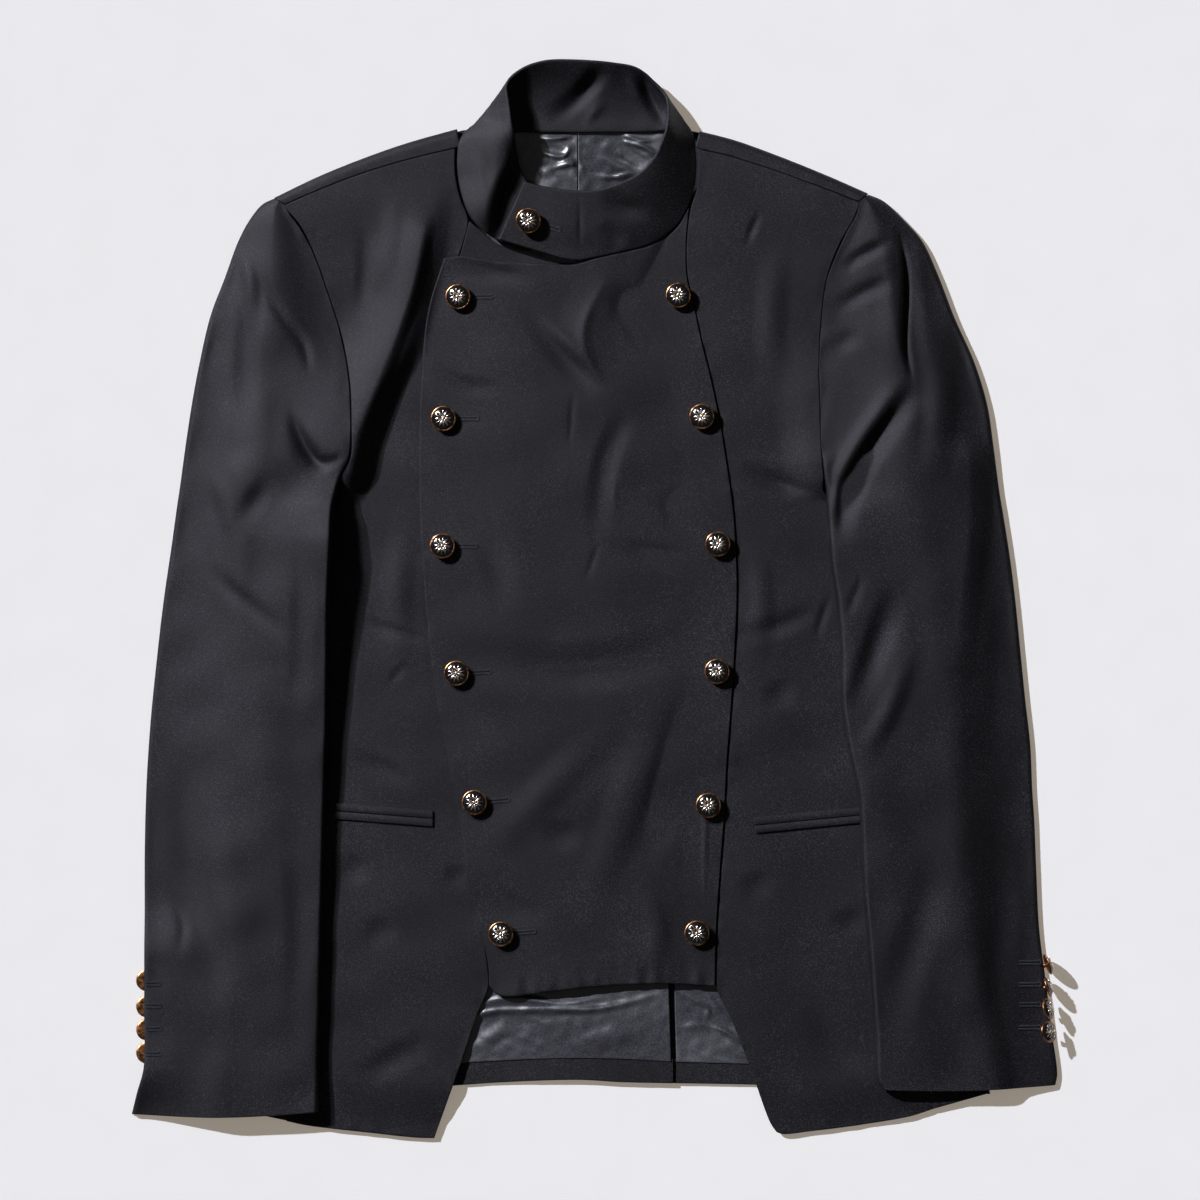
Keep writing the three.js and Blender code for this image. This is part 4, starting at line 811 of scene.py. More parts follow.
def make_side(side, table, ends):
    radius = SIDE_FOLD_HEIGHT / 2
    shares = spaced(130, SIDE_LENGTH, 2)
    ys = [row[0] for row in table]
    front = Line([(row[1], row[0]) for row in table]).at(shares)
    fold = Line([(row[2], y) for row, y in zip(table, ys[:-1] + [ends[0]])]).at(shares)
    back = Line([(row[3], y) for row, y in zip(table, ys[:-1] + [ends[1]])]).at(shares)
    outward = np.sign(fold[0, 0] - front[0, 0])
    front[:, 0] -= outward * SIDE_SEAM_CLOSE
    flat = (0, 0.03, 0.08, 0.2, 0.5, 0.8)
    columns = []
    low = fold.copy()
    low[:, 0] -= outward * radius
    for share in flat:
        columns.append(np.column_stack([mix(back, low, share), np.zeros(len(back))]))
    for angle in np.linspace(0, math.pi, 12):
        x = fold[:, 0] - outward * radius * (1 - math.sin(angle))
        z = np.full(len(x), radius * (1 - math.cos(angle)))
        columns.append(np.column_stack([x, fold[:, 1], z]))
    for share in flat[::-1]:
        points = mix(front, low, share)
        columns.append(np.column_stack([points, np.full(len(points), SIDE_FOLD_HEIGHT)]))
    grid = np.array(columns).transpose(1, 0, 2)
    if side == "left":
        grid = grid[:, ::-1]
    run = np.linalg.norm(np.diff(grid, axis=1), axis=2)
    across = np.concatenate([np.zeros((len(run), 1)), np.cumsum(run, axis=1)], axis=1)
    down = shares[:, None] * SIDE_LENGTH
    ends = np.minimum(down, SIDE_LENGTH - down) + 0 * across
    edge = np.minimum(np.minimum(across, across[:, -1:] - across), ends)
    top = np.clip(grid[..., 2] / SIDE_FOLD_HEIGHT, 0, 1)
    grid[..., 2] += top * (relief(grid[..., 0], grid[..., 1]) - hem_drop(grid[..., 1]))
    piece = make_wall(f"side_{side}_cloth", grid, BACK_WALL, TWILL, ends, edge, True)
    return dress(piece, f"side_{side}")


# Fronts
RIGHT_FRONT = {
    "left": [(-217.5, 276), (-205.8, 262.5), (-196, 242.9), (-186.2, 215.6), (-176.4, 184.1),
             (-170.8, 152.6), (-169.4, 122.5), (-170.1, 99.4), (-176.8, 84.6), (-179, 72),
             (-181, 63), (-196, 60), (-212, 55), (-216.2, 44), (-217, 28), (-211.4, -35),
             (-207.2, -98), (-205.8, -154), (-208.6, -210), (-212.8, -266), (-214.5, -322),
             (-215.6, -365.4)],
    "right": [(-97.4, 316), (-97.3, 299.6), (-93.9, 282.1), (-88.3, 266.2), (-94.5, 241.5),
              (-102, 217), (-110.3, 182), (-115.2, 126), (-116.4, 84), (-116.4, 28),
              (-114.1, 4.2), (-110.6, -35), (-104.3, -70), (-97.3, -112), (-91, -147),
              (-84, -193.9), (-73.8, -266), (-74.6, -273), (-82.6, -292.6), (-92.4, -322),
              (-112, -377.3)],
    "top": [(-217.5, 276), (-187.5, 289), (-156.8, 300.2), (-126.7, 309), (-97.4, 316)],
    "bottom": [(-215.6, -365.4), (-202.3, -368.2), (-154.7, -373.8), (-124, -377),
               (-112, -377.3)],
}
LEFT_FRONT = {
    "left": [(73.4, 315.5), (73, 302.4), (72.3, 288.4), (67.9, 274.4), (65.1, 249.9), (65.8, 226),
             (70, 208.6), (75.6, 182.7), (82.6, 154.7), (88.9, 124.6), (93.8, 94.5), (98, 64.4),
             (100.1, 34.3), (100.8, 4.2), (99.1, -36.4), (97, -70), (93.8, -112),
             (91.9, -153.3), (88.9, -193.9), (86.5, -235.2), (85.9, -271), (96.6, -294.7),
             (109.2, -326.9), (123.7, -366.7), (128, -373)],
    "right": [(185.9, 278.3), (182.7, 268.8), (170.8, 247.1), (162.4, 222.6), (158.9, 193.9),
              (157.5, 165.2), (158.2, 134.4), (158.9, 107.8), (160.6, 87), (161, 75.5),
              (174, 71), (206, 66), (232, 61), (236.6, 48), (233.8, 17.5), (226.8, -36.4),
              (225.4, -94.5), (226.8, -153.3), (229.6, -210), (232.4, -262.5), (234.2, -294.7),
              (235.2, -323.4), (237.3, -357)],
    "top": [(73.4, 315.5), (94.6, 310.7), (125.3, 301), (160.3, 288.3), (185.9, 278.3)],
    "bottom": [(128, -373), (132.2, -374.4), (152.6, -372.4), (187.6, -367.9),
               (221.9, -361.9), (237.3, -357)],
}
FRONT_PUCKER = 0.3
PLASTRON_PUCKER = 0.25
HEM_PUCKER = 0.5
PLASTRON_SEAM_CLOSE = 0.4
HEM_REACH = 11
HEM_WAVES = (8, 16)


def make_front(node, edges, top, wall, across, down, free, puckers=FRONT_PUCKER,
               hem=0.0):
    us = spaced(across, FRONT_WIDTH, 2)
    vs = spaced(down, FRONT_LENGTH, 2)
    if node == "front_left":
        edges = dict(edges, left=[(x - PLASTRON_SEAM_CLOSE, y) for x, y in edges["left"]])
    grid, distances = fill_edges(edges, us, vs)
    x, y = grid[..., 0], grid[..., 1]
    edge = nearest_edge(distances)
    height = top(x, y) + pucker(x, y, edge, puckers, "front_seams")
    to_hem = distances["bottom"] + 0 * edge
    gathers = waves(x, 0 * y, *HEM_WAVES, SEEDS["front_hem"])
    height += hem * gathers * np.exp(-((to_hem / HEM_REACH) ** 2))
    folded = nearest_edge(distances, *free)
    piece = make_wall(f"{node}_cloth", raised(grid, height), wall, TWILL, folded, edge)
    return dress(piece, node)


# Sleeves, as (inner x, y, outer x, y, near, middle, edge, under x, y). Near, middle and edge are
# heights from the inner edge to the outer one. The first rows meet the front at the armhole, so
# they take their near from the row after them.
RIGHT_SLEEVE = [
    (-217.3, 276.6, -224.1, 281.5, 0, 11, 11, -218.6, 274.6),
    (-213.4, 269.6, -232.4, 277.4, 0, 12, 10, -218, 268),
    (-206, 259.5, -240.8, 267.4, 0, 13, 9.5, -212.2, 257),
    (-197.2, 242.9, -249.2, 252, 0, 13, 9, -205, 241),
    (-187.8, 217, -259, 225.4, 0, 13, 9, -198.6, 217),
    (-179, 189, -268.8, 199.5, 0, 13, 9, -192.8, 189),
    (-172.9, 159.6, -276.5, 166.6, 0, 12.2, 9, -190.2, 159.6),
    (-170.8, 129.5, -282.1, 136.5, 0, 11, 9, -193.8, 129.5),
    (-171.8, 101.5, -287, 103.6, 0, 10.2, 8.5, -200.6, 103),
    (-177.6, 84, -290.2, 80, 0, 10, 8, -193, 86),
    (-180.8, 65, -293, 61, 12, 9, 8, -190, 66),
    (-182, 42, -296.1, 38.5, 12, 9, 8, -182, 42),
    (-184.1, 0, -301.7, 0, 9, 8.5, 7.8, -184.1, 0),
    (-184.8, -42, -306.6, -42, 8, 8, 7.6, -184.8, -42),
    (-185.5, -84, -310.8, -84, 7.4, 7.8, 7.4, -185.5, -84),
    (-186.9, -126, -313.6, -126, 6.8, 7.6, 7.2, -186.9, -126),
    (-188.3, -175, -315, -175, 6.6, 7.4, 7, -188.3, -175),
    (-189.7, -224, -315, -224, 6.6, 7.2, 7, -189.7, -224),
    (-190.3, -250, -315, -250, 6.6, 7.2, 7, -190.3, -250),
    (-191.1, -287, -315, -287, 6.6, 7.2, 7, -191.1, -287),
    (-192.2, -323.4, -315.4, -327.6, 6.6, 7.2, 7, -192.2, -323.4),
    (-192.5, -343, -320.2, -345.1, 6.6, 7.2, 7, -192.5, -343),
    (-192.6, -358.1, -324.1, -360.5, 6.6, 7.2, 7, -192.6, -358.1),
]
LEFT_SLEEVE = [
    (186.5, 278.9, 192.2, 284.3, 0, 11, 11, 187, 277.4),
    (184.3, 269.3, 203, 279.6, 0, 12, 10, 187.4, 268),
    (177.7, 257.6, 217.7, 266, 0, 12.5, 9.5, 179, 257),
    (168.8, 238, 230.3, 251.3, 0, 12.5, 9, 172.6, 238),
    (163.4, 222.6, 240.8, 228.9, 0, 12.5, 9, 168.6, 222),
    (159.8, 193.9, 252.7, 198.1, 0, 12.5, 9, 161.3, 194),
    (158.4, 165.2, 266.7, 166.6, 0, 11.8, 9, 160, 165.2),
    (159, 134.4, 275.8, 136.5, 0, 10.2, 8.5, 161.4, 134.4),
    (159.7, 107.8, 280, 108.5, 0, 9.8, 8.5, 167.5, 108),
    (161.8, 86.8, 282.8, 86.8, 0, 9.8, 8, 172, 87),
    (162.5, 76.8, 284.4, 75, 7, 9.6, 8, 173, 77),
    (163.2, 59.5, 287, 59.5, 7, 9.3, 8, 163.8, 59.5),
    (165.2, 28, 291.9, 28, 7.3, 8.8, 7.8, 165.2, 28),
    (169.4, 0, 295.4, 0, 7.2, 8.2, 7.6, 169.4, 0),
    (172.2, -35, 298.9, -35, 7, 8, 7.6, 172.2, -35),
    (172.9, -70, 302.4, -70, 7, 8, 7.6, 172.9, -70),
    (177.1, -101.5, 305.9, -101.5, 7, 8, 7.4, 177.1, -101.5),
    (184.1, -133, 307.3, -133, 6.8, 7.8, 7.2, 184.1, -133),
    (186.2, -154, 308.7, -154, 6.8, 7.6, 7.2, 186.2, -154),
    (187.6, -192.5, 310.1, -189, 6.6, 7.4, 7, 187.6, -192.5),
    (191.1, -233.8, 312.2, -231, 6.6, 7.2, 7, 191.1, -233.8),
    (193.9, -269.5, 317.1, -269.5, 6.6, 7.2, 7, 193.9, -269.5),
    (196.7, -308, 321.3, -304.5, 6.2, 6.4, 7, 196.7, -308),
    (198.1, -335.3, 324.8, -332.5, 5.6, 5.4, 7, 198.1, -335.3),
    (202.3, -343, 323.4, -340.2, 5.4, 5.2, 7, 202.3, -343),
]
SEAM_ROWS = 10
FREE_FROM_ROW = {"right": 8, "left": 9}
FREEING_ROWS = 2
HEM_BOW_START = 0.9
UNDERARM_TOP = {"right": 88, "left": 95}
CUFF_ZONE = {"x": -258, "top": -212, "bottom": -366, "ramp_x": 44, "ramp_y": 38}
SLEEVE_UNDULATION = 0.6
SLEEVE_WAVES = (34, 110)
SLEEVE_PUCKER = 0.35
SLEEVE_COLUMNS = 90
EDGE_FADE = 8
ROUND_STEPS = 9
HEM_BOW = {"right": 3, "left": 2}
OUTER_EDGE_FALL = 3.4
THIN_SLEEVE = 1.5
SOFT_RAMP = 75
INNER_RISE = {
    "right": [(0, 92), (5.5, 72), (10.5, 44), (9.5, 0), (5, -60), (3.2, -120), (0.8, -300)],
    "left": [(0, 80), (2, 40), (3.2, -110), (1, -330)],
}
SEAM_CLOSE = 0.6
UNDER_SLEEVE_GAP = 0.6


def support_of(side, x, y, ramp=SUPPORT_RAMP):
    """Height of what a sleeve lies on: the surface, and the body past its side fold"""
    right = side == "right"
    table = RIGHT_SIDE if right else LEFT_SIDE
    fold = edge_at([(row[2], row[0]) for row in table], y)
    beyond = np.maximum(0, fold - x if right else x - fold)
    above = np.maximum(0, y - UNDERARM_TOP[side])
    body = SLEEVE_SUPPORT * smooth(1 - (np.hypot(beyond, above) - SUPPORT_SHELF) / ramp)
    if not right:
        return body
    zone = smooth((CUFF_ZONE["top"] - y) / CUFF_ZONE["ramp_y"])
    zone = zone * smooth((y - CUFF_ZONE["bottom"]) / CUFF_ZONE["ramp_y"])
    return body + CUFF_BUTTON_LIFT * zone * smooth((CUFF_ZONE["x"] - x) / CUFF_ZONE["ramp_x"])


def hem_bow(side, t, us):
    """How far a sleeve's hem bows down between its edges"""
    near_hem = smooth((t - HEM_BOW_START) / (1 - HEM_BOW_START))[:, None]
    return HEM_BOW[side] * near_hem * np.sin(math.pi * us)


def make_sleeve(side, table, folds, creases):
    right = side == "right"
    front_top = right_front_plain if right else left_front_plain
    rows = np.array(table)
    spans = len(rows) - 1
    t = spaced(190, SLEEVE_LENGTH, 2)
    rows[:SEAM_ROWS, 0] += SEAM_CLOSE if right else -SEAM_CLOSE
    rows[:SEAM_ROWS, 4] = rows[SEAM_ROWS, 4]
    inner = Line(rows[:, 0:2]).at(t)[:, None, :]
    outer = Line(rows[:, 2:4]).at(t)[:, None, :]
    near, middle_height, edge_height = (Line(rows[:, 4:7]).at(t)[:, k][:, None] for k in range(3))
    free = np.clip((t * spans - FREE_FROM_ROW[side]) / FREEING_ROWS, 0, 1)[:, None]
    seam_top = front_top(inner[..., 0], inner[..., 1])
    on_body = support_of(side, inner[..., 0], inner[..., 1])
    freed = np.maximum(on_body + near, seam_top + 1)
    freed += edge_at(INNER_RISE[side], inner[..., 1])
    near_top = mix(seam_top, freed, smooth(free))
    inner_rim = mix(seam_top, on_body + BACK_WALL + RIM_GAP, smooth(free))
    outer_rim = support_of(side, outer[..., 0], outer[..., 1]) + BACK_WALL + RIM_GAP
    span = np.linalg.norm(outer - inner, axis=2)
    inset = np.minimum(SLEEVE_FOLD_INSET, span / 4) / span

    def top(u):
        place = mix(inner, outer, u[..., None])
        x, y = place[..., 0], place[..., 1]
        support = support_of(side, x, y)
        carried = support_of(side, x, y, SOFT_RAMP)
        middle = carried + middle_height
        level = np.where(u < 0.5, mix(near_top, middle, smooth(2 * u)),
                         mix(middle, support + edge_height - OUTER_EDGE_FALL, smooth(2 * u - 1)))
        layers = BACK_WALL + SLEEVE_WALL + SLEEVE_CLEARANCE
        lowest = support + layers - THIN_SLEEVE * smooth(2 * u - 1)
        fade = smooth(u * span / EDGE_FADE) * smooth((1 - u) * span / EDGE_FADE)
        swells = waves(x, y, *SLEEVE_WAVES, SEEDS[f"sleeve_{side}"])
        fine = creases_at(creases, x, y) + SLEEVE_UNDULATION * swells
        return np.maximum(lowest, level + folds_at(folds, x, y) + fade * fine)

    quarter = np.radians(np.linspace(0, 90, ROUND_STEPS))
    flat = np.linspace(0, 1, int(SLEEVE_COLUMNS * DETAIL) + 1)[1:-1]
    arc = inset * (1 - np.cos(quarter))[None, :]
    us = np.concatenate([arc, mix(inset, 1 - inset, flat[None, :]), 1 - arc[:, ::-1]], axis=1)
    heights = top(us)
    first, last = slice(0, ROUND_STEPS), slice(-ROUND_STEPS, None)
    heights[:, first] = mix(inner_rim, heights[:, first], np.sin(quarter)[None, :])
    heights[:, last] = mix(outer_rim, heights[:, last], np.sin(quarter)[None, ::-1])
    places = mix(inner, outer, us[..., None])
    places[..., 1] -= hem_bow(side, t, us)
    to_inner = us * span
    puckers = pucker(places[..., 0], places[..., 1], to_inner, SLEEVE_PUCKER, "armhole")
    heights += (1 - free) * puckers
    grid = raised(places, heights)
    down = t[:, None] * SLEEVE_LENGTH + 0 * us
    ends = np.minimum(down, SLEEVE_LENGTH - down)
    edge = np.minimum(ends, mix(to_inner, ends, smooth(free * 2)))
    if right:
        grid, edge, ends = grid[:, ::-1], edge[:, ::-1], ends[:, ::-1]
    piece = make_wall(f"sleeve_top_{side}_cloth", grid, SLEEVE_WALL, TWILL, ends, edge, True)
    return dress(piece, f"sleeve_top_{side}")


def make_under_sleeve(side, table):
    rows = np.array(table)
    body = RIGHT_BACK["left"] if side == "right" else LEFT_BACK["right"]
    gap = -UNDER_SLEEVE_GAP if side == "right" else UNDER_SLEEVE_GAP
    rows[1:SEAM_ROWS, 7] = edge_at(body, rows[1:SEAM_ROWS, 8]) + gap
    first = 1 / (len(rows) - 1)
    t = mix(first, 1, spaced(110, UNDER_SLEEVE_LENGTH, 2))
    under = Line(rows[:, 7:9]).at(t)[:, None, :]
    outer = Line(rows[:, 2:4]).at(t)[:, None, :]
    us = spaced(36, UNDER_SLEEVE_WIDTH, 2)
    grid = mix(under, outer, us[None, :, None])
    grid[..., 1] -= hem_bow(side, t, us)
    height = BACK_WALL + support_of(side, grid[..., 0], grid[..., 1])
    grid = raised(grid, height)
    down = (t[:, None] - first) / (1 - first) * UNDER_SLEEVE_LENGTH + 0 * us
    span = np.linalg.norm(outer - under, axis=2)
    ends = np.minimum(down, UNDER_SLEEVE_LENGTH - down)
    edge = np.minimum(ends, np.minimum(us, 1 - us) * span)
    if side == "right":
        grid, edge = grid[:, ::-1], edge[:, ::-1]
    piece = make_wall(f"sleeve_under_{side}_cloth", grid, BACK_WALL, TWILL, edge)
    return dress(piece, f"sleeve_under_{side}")


# Collar stations, from the left tab round the back, as seam x, y, z and free edge x, y, z
COLLAR = [
    (-67.2, 252.2, 13.3, -49, 292.6, 15.6), (-44.8, 245.6, 12.5, -33.6, 289.1, 16.5),
    (-14, 237.6, 11.5, -13.3, 286.3, 17.5), (4.2, 241.9, 12.2, 2.1, 287, 18.5),
    (22.4, 246, 12, 18.2, 291.6, 20.5), (40.6, 251.4, 11.8, 32.2, 298.9, 22.5),
    (57, 263, 11.6, 42, 309.4, 25), (66, 277.5, 11.2, 47.6, 321.3, 26.5),
    (70.7, 295.4, 11.2, 51.1, 333.2, 26), (70.9, 313.6, 10.6, 51.8, 343, 20),
    (67.9, 327.5, 7.5, 49.7, 353.5, 13.5), (57.4, 329, 5.2, 40.6, 364, 12),
    (39.2, 328, 4, 30.1, 372.4, 14.5), (18.2, 327.6, 3.9, 12.6, 375.9, 16.5),
    (-9.8, 327.4, 3.9, -9.8, 377.7, 17), (-37.8, 327.6, 4, -34.3, 377.3, 17),
    (-62.3, 328.6, 5, -50.4, 371.7, 17), (-82.6, 331.6, 7, -60.2, 361.2, 20),
    (-93.5, 322, 10, -58.8, 345.8, 22), (-95.9, 304.5, 11, -56.7, 329, 20),
    (-92.8, 284.9, 11, -53.9, 310.8, 12), (-85.8, 267.4, 10.6, -49, 296.8, 9.8),
    (-76.3, 257.6, 10.2, -42, 288.4, 9.6), (-67.2, 251.7, 9.9, -32.2, 282.8, 9.8),
    (-44.8, 244.3, 9.6, -19.6, 275.8, 9.8),
]
COLLAR_BACK_SAG = 4.5
COLLAR_SEAM_CLOSE = 1.6
COLLAR_SEAM_STEP = -0.5
COLLAR_BACK_START = 322
COLLAR_BACK_RAMP = 16
COLLAR_UNDER_START = 0.6
COLLAR_UNDER_RAMP = 0.1
COLLAR_UNDULATION = 0.4
COLLAR_WAVES = (22, 70)
COLLAR_PUCKER = 0.25
COLLAR_ROLL = [
    ([(-61, 345, 0), (-59, 328, 3), (-62, 309, 7), (-70, 290, 9.5), (-74.5, 273, 8.5),
      (-75.5, 259, 4), (-71, 253, 0)], 9, 26, 0.1),
]


def neck_seam_height(x, y):
    """The height of the front beside the collar's seam"""
    on_plastron = x < edge_at(PLASTRON_RIGHT_SEAM, y)
    return np.where(on_plastron, plastron_top(x, y), left_front_top(x, y))


def make_collar():
    rows = np.array(COLLAR)
    sewn = slice(3, 9)
    rows[sewn, 1] -= COLLAR_SEAM_CLOSE
    rows[sewn, 2] = neck_seam_height(rows[sewn, 0], rows[sewn, 1]) + COLLAR_SEAM_STEP
    t = spaced(260, COLLAR_LENGTH, 2.4)
    k = spaced(26, COLLAR_STAND, 2.4)
    seam = Line(rows[:, :3]).at(t)[None]
    free = Line(rows[:, 3:]).at(t)[None]
    grid = mix(seam, free, k[:, None, None])
    sag = COLLAR_BACK_SAG * smooth((grid[..., 1] - COLLAR_BACK_START) / COLLAR_BACK_RAMP)
    grid[..., 2] -= sag * np.sin(math.pi * k)[:, None]
    span = np.linalg.norm(free - seam, axis=2)
    normal = normals_of(grid)
    x, y = grid[..., 0], grid[..., 1]
    beneath = smooth((t - COLLAR_UNDER_START) / COLLAR_UNDER_RAMP)[None, :]
    swells = COLLAR_UNDULATION * waves(x, y, *COLLAR_WAVES, SEEDS["collar"])
    fine = creases_at(COLLAR_FOLDS, x, y) + swells
    to_seam = k[:, None] * span
    inside = smooth(to_seam / 9) * smooth((span - to_seam) / 7)
    puckers = pucker(x, y, to_seam, COLLAR_PUCKER, "collar_seam")
    fine = fine * inside + puckers * smooth(to_seam / 2)
    grid = grid + normal * (fine * np.sign(normal[..., 2]) + COLLAR_WALL / 2)[..., None]
    grid[..., 2] += folds_at(COLLAR_ROLL, x, y) * beneath
    run = t[None, :] * COLLAR_LENGTH + 0 * to_seam
    ends = np.minimum(run, COLLAR_LENGTH - run)
    edge = np.minimum(ends, np.minimum(to_seam, span - to_seam))
    piece = make_wall("collar_cloth", grid, COLLAR_WALL, TWILL, edge, square=True)
    return dress(piece, "collar")


# Lining
LINING_FOLD_DEPTH = 2.3
LINING_LOWEST = -0.4
LINING_RIM = 4
LINING_WAVES = (9, 34)


def make_lining(node, edges, across, down, folds, lift, swell):
    width = abs(edges["top"][-1][0] - edges["top"][0][0])
    drop = abs(edges["left"][0][1] - edges["left"][-1][1])
    us = spaced(across, width, 1)
    vs = spaced(down, drop, 1)
    grid, distances = fill_edges(edges, us, vs)
    x, y = grid[..., 0], grid[..., 1]
    edge = nearest_edge(distances)
    inside = smooth(edge / LINING_RIM)
    height = BACK_WALL + LINING_GAP + LINING_WALL + lift(x, y)
    wrinkles = swell * waves(x, y * 1.5, *LINING_WAVES, SEEDS["lining"])
    wrinkles += LINING_FOLD_DEPTH * folds_at(folds, x, y)
    height = height + inside * np.maximum(wrinkles, LINING_LOWEST)
    piece = make_wall(f"{node}_satin", raised(grid, height), LINING_WALL, SATIN, edge)
    return dress(piece, node)


NECK_LINING_RIGHT = {
    "left": [(-80, 328.8), (-76, 260), (-60, 218)],
    "right": [(-11.4, 328.8), (-11.4, 218)],
    "top": [(-80, 328.8), (-11.4, 328.8)],
    "bottom": [(-60, 218), (-11.4, 218)],
}
NECK_LINING_LEFT = {
    "left": [(-11, 328.8), (-11, 218)],
    "right": [(56, 328.8), (52, 260), (40, 218)],
    "top": [(-11, 328.8), (56, 328.8)],
    "bottom": [(-11, 218), (40, 218)],
}
HEM_LINING_RIGHT = {
    "left": [(-130, -268.5), (-132, -324.6)],
    "right": [(52.2, -268.5), (54, -323.6)],
    "top": [(-130, -268.5), (52.2, -268.5)],
    "bottom": [(-132, -324.6), (-95, -324.4), (-30, -321.4), (18, -321.6), (54, -323.6)],
}
HEM_LINING_LEFT = {
    "left": [(56.4, -268.5), (57.6, -323.9)],
    "right": [(150, -268.5), (152, -325.6)],
    "top": [(56.4, -268.5), (150, -268.5)],
    "bottom": [(57.6, -323.9), (106, -325.2), (152, -325.6)],
}

# Pocket welts, as top, middle and bottom lines
WELTS = {
    "right": ([(-203, -140.5), (-112.8, -147.5)], [(-203, -146), (-112.8, -153)],
              [(-203, -151.8), (-112.8, -158.9)]),
    "left": ([(111.7, -152.4), (222, -141.9)], [(112.6, -157.8), (222.4, -147.2)],
             [(113.6, -163.4), (222.8, -152.8)]),
}
WELT_CROWN = 0.35


def make_welt(name, upper, lower, front_top):
    edges = {"left": [upper[0], lower[0]], "right": [upper[1], lower[1]],
             "top": upper, "bottom": lower}
    us = spaced(70, WELT_LENGTH, 0.8)
    vs = spaced(8, WELT_WIDTH, 0.8)
    grid, distances = fill_edges(edges, us, vs)
    x, y = grid[..., 0], grid[..., 1]
    crown = WELT_CROWN * np.sin(math.pi * vs)[:, None]
    height = front_top(x, y) + SEAM_GAP + WELT_WALL + crown
    edge = nearest_edge(distances)
    piece = make_wall(f"{name}_cloth", raised(grid, height), WELT_WALL, TWILL, edge)
    return dress(piece, name)


# Buttons: the looks of their parts, and the sections of shank, rim and dome, which are turned
# about the button's axis, as (radius, height) shares of a button
RIM_LOOK, DOME_LOOK, MOTIF_LOOK = 0, 1, 2
BUTTON_SECTIONS = [
    (RIM_LOOK, [(0, 0), (0.2, 0), (0.2, 0.2), (0.16, 0.4), (0, 0.4)]),
    (RIM_LOOK, [(0.15, 0.4), (0.7, 0.4), (0.88, 0.43), (0.97, 0.48), (1, 0.54), (0.995, 0.59),
                (0.97, 0.63), (0.94, 0.655), (0.92, 0.66), (0.9, 0.65), (0.885, 0.62),
                (0.88, 0.5)]),
    (DOME_LOOK, [(0.89, 0.5), (0.89, 0.62), (0.85, 0.7), (0.76, 0.8), (0.6, 0.89), (0.4, 0.945),
                 (0.2, 0.975), (0, 0.985)]),
]
MOTIF_BOSS = [(0.14, 0.93), (0.13, 1.04), (0.07, 1.09), (0, 1.1)]
BUTTON_SIDES = 40
BOSS_SIDES = 16
PETALS = 6
PETAL_STATIONS = 7
LARGE_PETAL = {"start": 0.1, "length": 0.56, "width": 0.14, "height": 0.13, "base": 0.99}
SMALL_PETAL = {"start": 0.24, "length": 0.46, "width": 0.055, "height": 0.1, "base": 0.98}


def lathe(section, sides):
    """Points and faces of a section turned about Z"""
    angles = np.arange(sides) * 2 * math.pi / sides
    points = [(r * math.cos(a), r * math.sin(a), h) for r, h in section for a in angles]
    faces = []
    for k in range(len(section) - 1):
        for i in range(sides):
            j = (i + 1) % sides
            faces.append((k * sides + i, k * sides + j, (k + 1) * sides + j, (k + 1) * sides + i))
    return points, faces


def petal(angle, start, length, width, height, base):
    """A pointed leaf that is raised along its middle"""
    points, faces = [], []
    for k in range(PETAL_STATIONS):
        s = k / (PETAL_STATIONS - 1)
        half = width * math.sin(math.pi * min(0.97, 0.06 + s * 0.9)) ** 0.8
        along = start + length * s
        lift = base - 0.16 * along * along
        ridge = lift + height * math.sin(math.pi * (0.1 + 0.8 * s))
        for off, z in ((-half, lift - 0.03), (-half * 0.5, (lift + ridge) / 2), (0, ridge),
                       (half * 0.5, (lift + ridge) / 2), (half, lift - 0.03)):
            points.append((along * math.cos(angle) - off * math.sin(angle),
                           along * math.sin(angle) + off * math.cos(angle), z))
    for k in range(PETAL_STATIONS - 1):
        for m in range(4):
            a = k * 5 + m
            faces.append((a, a + 5, a + 6, a + 1))
        faces.append((k * 5, k * 5 + 4, k * 5 + 9, k * 5 + 5))
    faces.append(tuple(range(5)))
    faces.append(tuple(reversed(range((PETAL_STATIONS - 1) * 5, PETAL_STATIONS * 5))))
    return points, faces


def button_parts():
    """All the parts of a button of radius 1 and height 1, with their material index"""
    parts = [(*lathe(section, BUTTON_SIDES), look) for look, section in BUTTON_SECTIONS]
    for i in range(PETALS):
        angle = 2 * math.pi * i / PETALS + 0.2
        between = angle + math.pi / PETALS
        parts.append((*petal(angle, **LARGE_PETAL), MOTIF_LOOK))
        parts.append((*petal(between, **SMALL_PETAL), MOTIF_LOOK))
    parts.append((*lathe(MOTIF_BOSS, BOSS_SIDES), MOTIF_LOOK))
    return parts


BUTTON = button_parts()


def make_button(node, diameter, base, axis, spin):
    scale = np.array([diameter / 2, diameter / 2, diameter * BUTTON_HEIGHT_RATIO])
    turn = Vector((0, 0, 1)).rotation_difference(Vector(axis).normalized()).to_matrix()
    spun = np.array([[math.cos(spin), -math.sin(spin), 0], [math.sin(spin), math.cos(spin), 0],
                     [0, 0, 1]])
    points, faces, material_of = [], [], []
    for part_points, part_faces, material in BUTTON:
        first = len(points)
        placed = (np.array(part_points) * scale) @ spun.T @ np.array(turn).T + np.array(base)
        points.extend(placed.tolist())
        faces.extend([[first + i for i in face] for face in part_faces])
        material_of.extend([material] * len(part_faces))
    piece = make_object(f"{node}_finish", points, faces, [COPPER, ENAMEL, SILVER], material_of)
    return dress(piece, node)


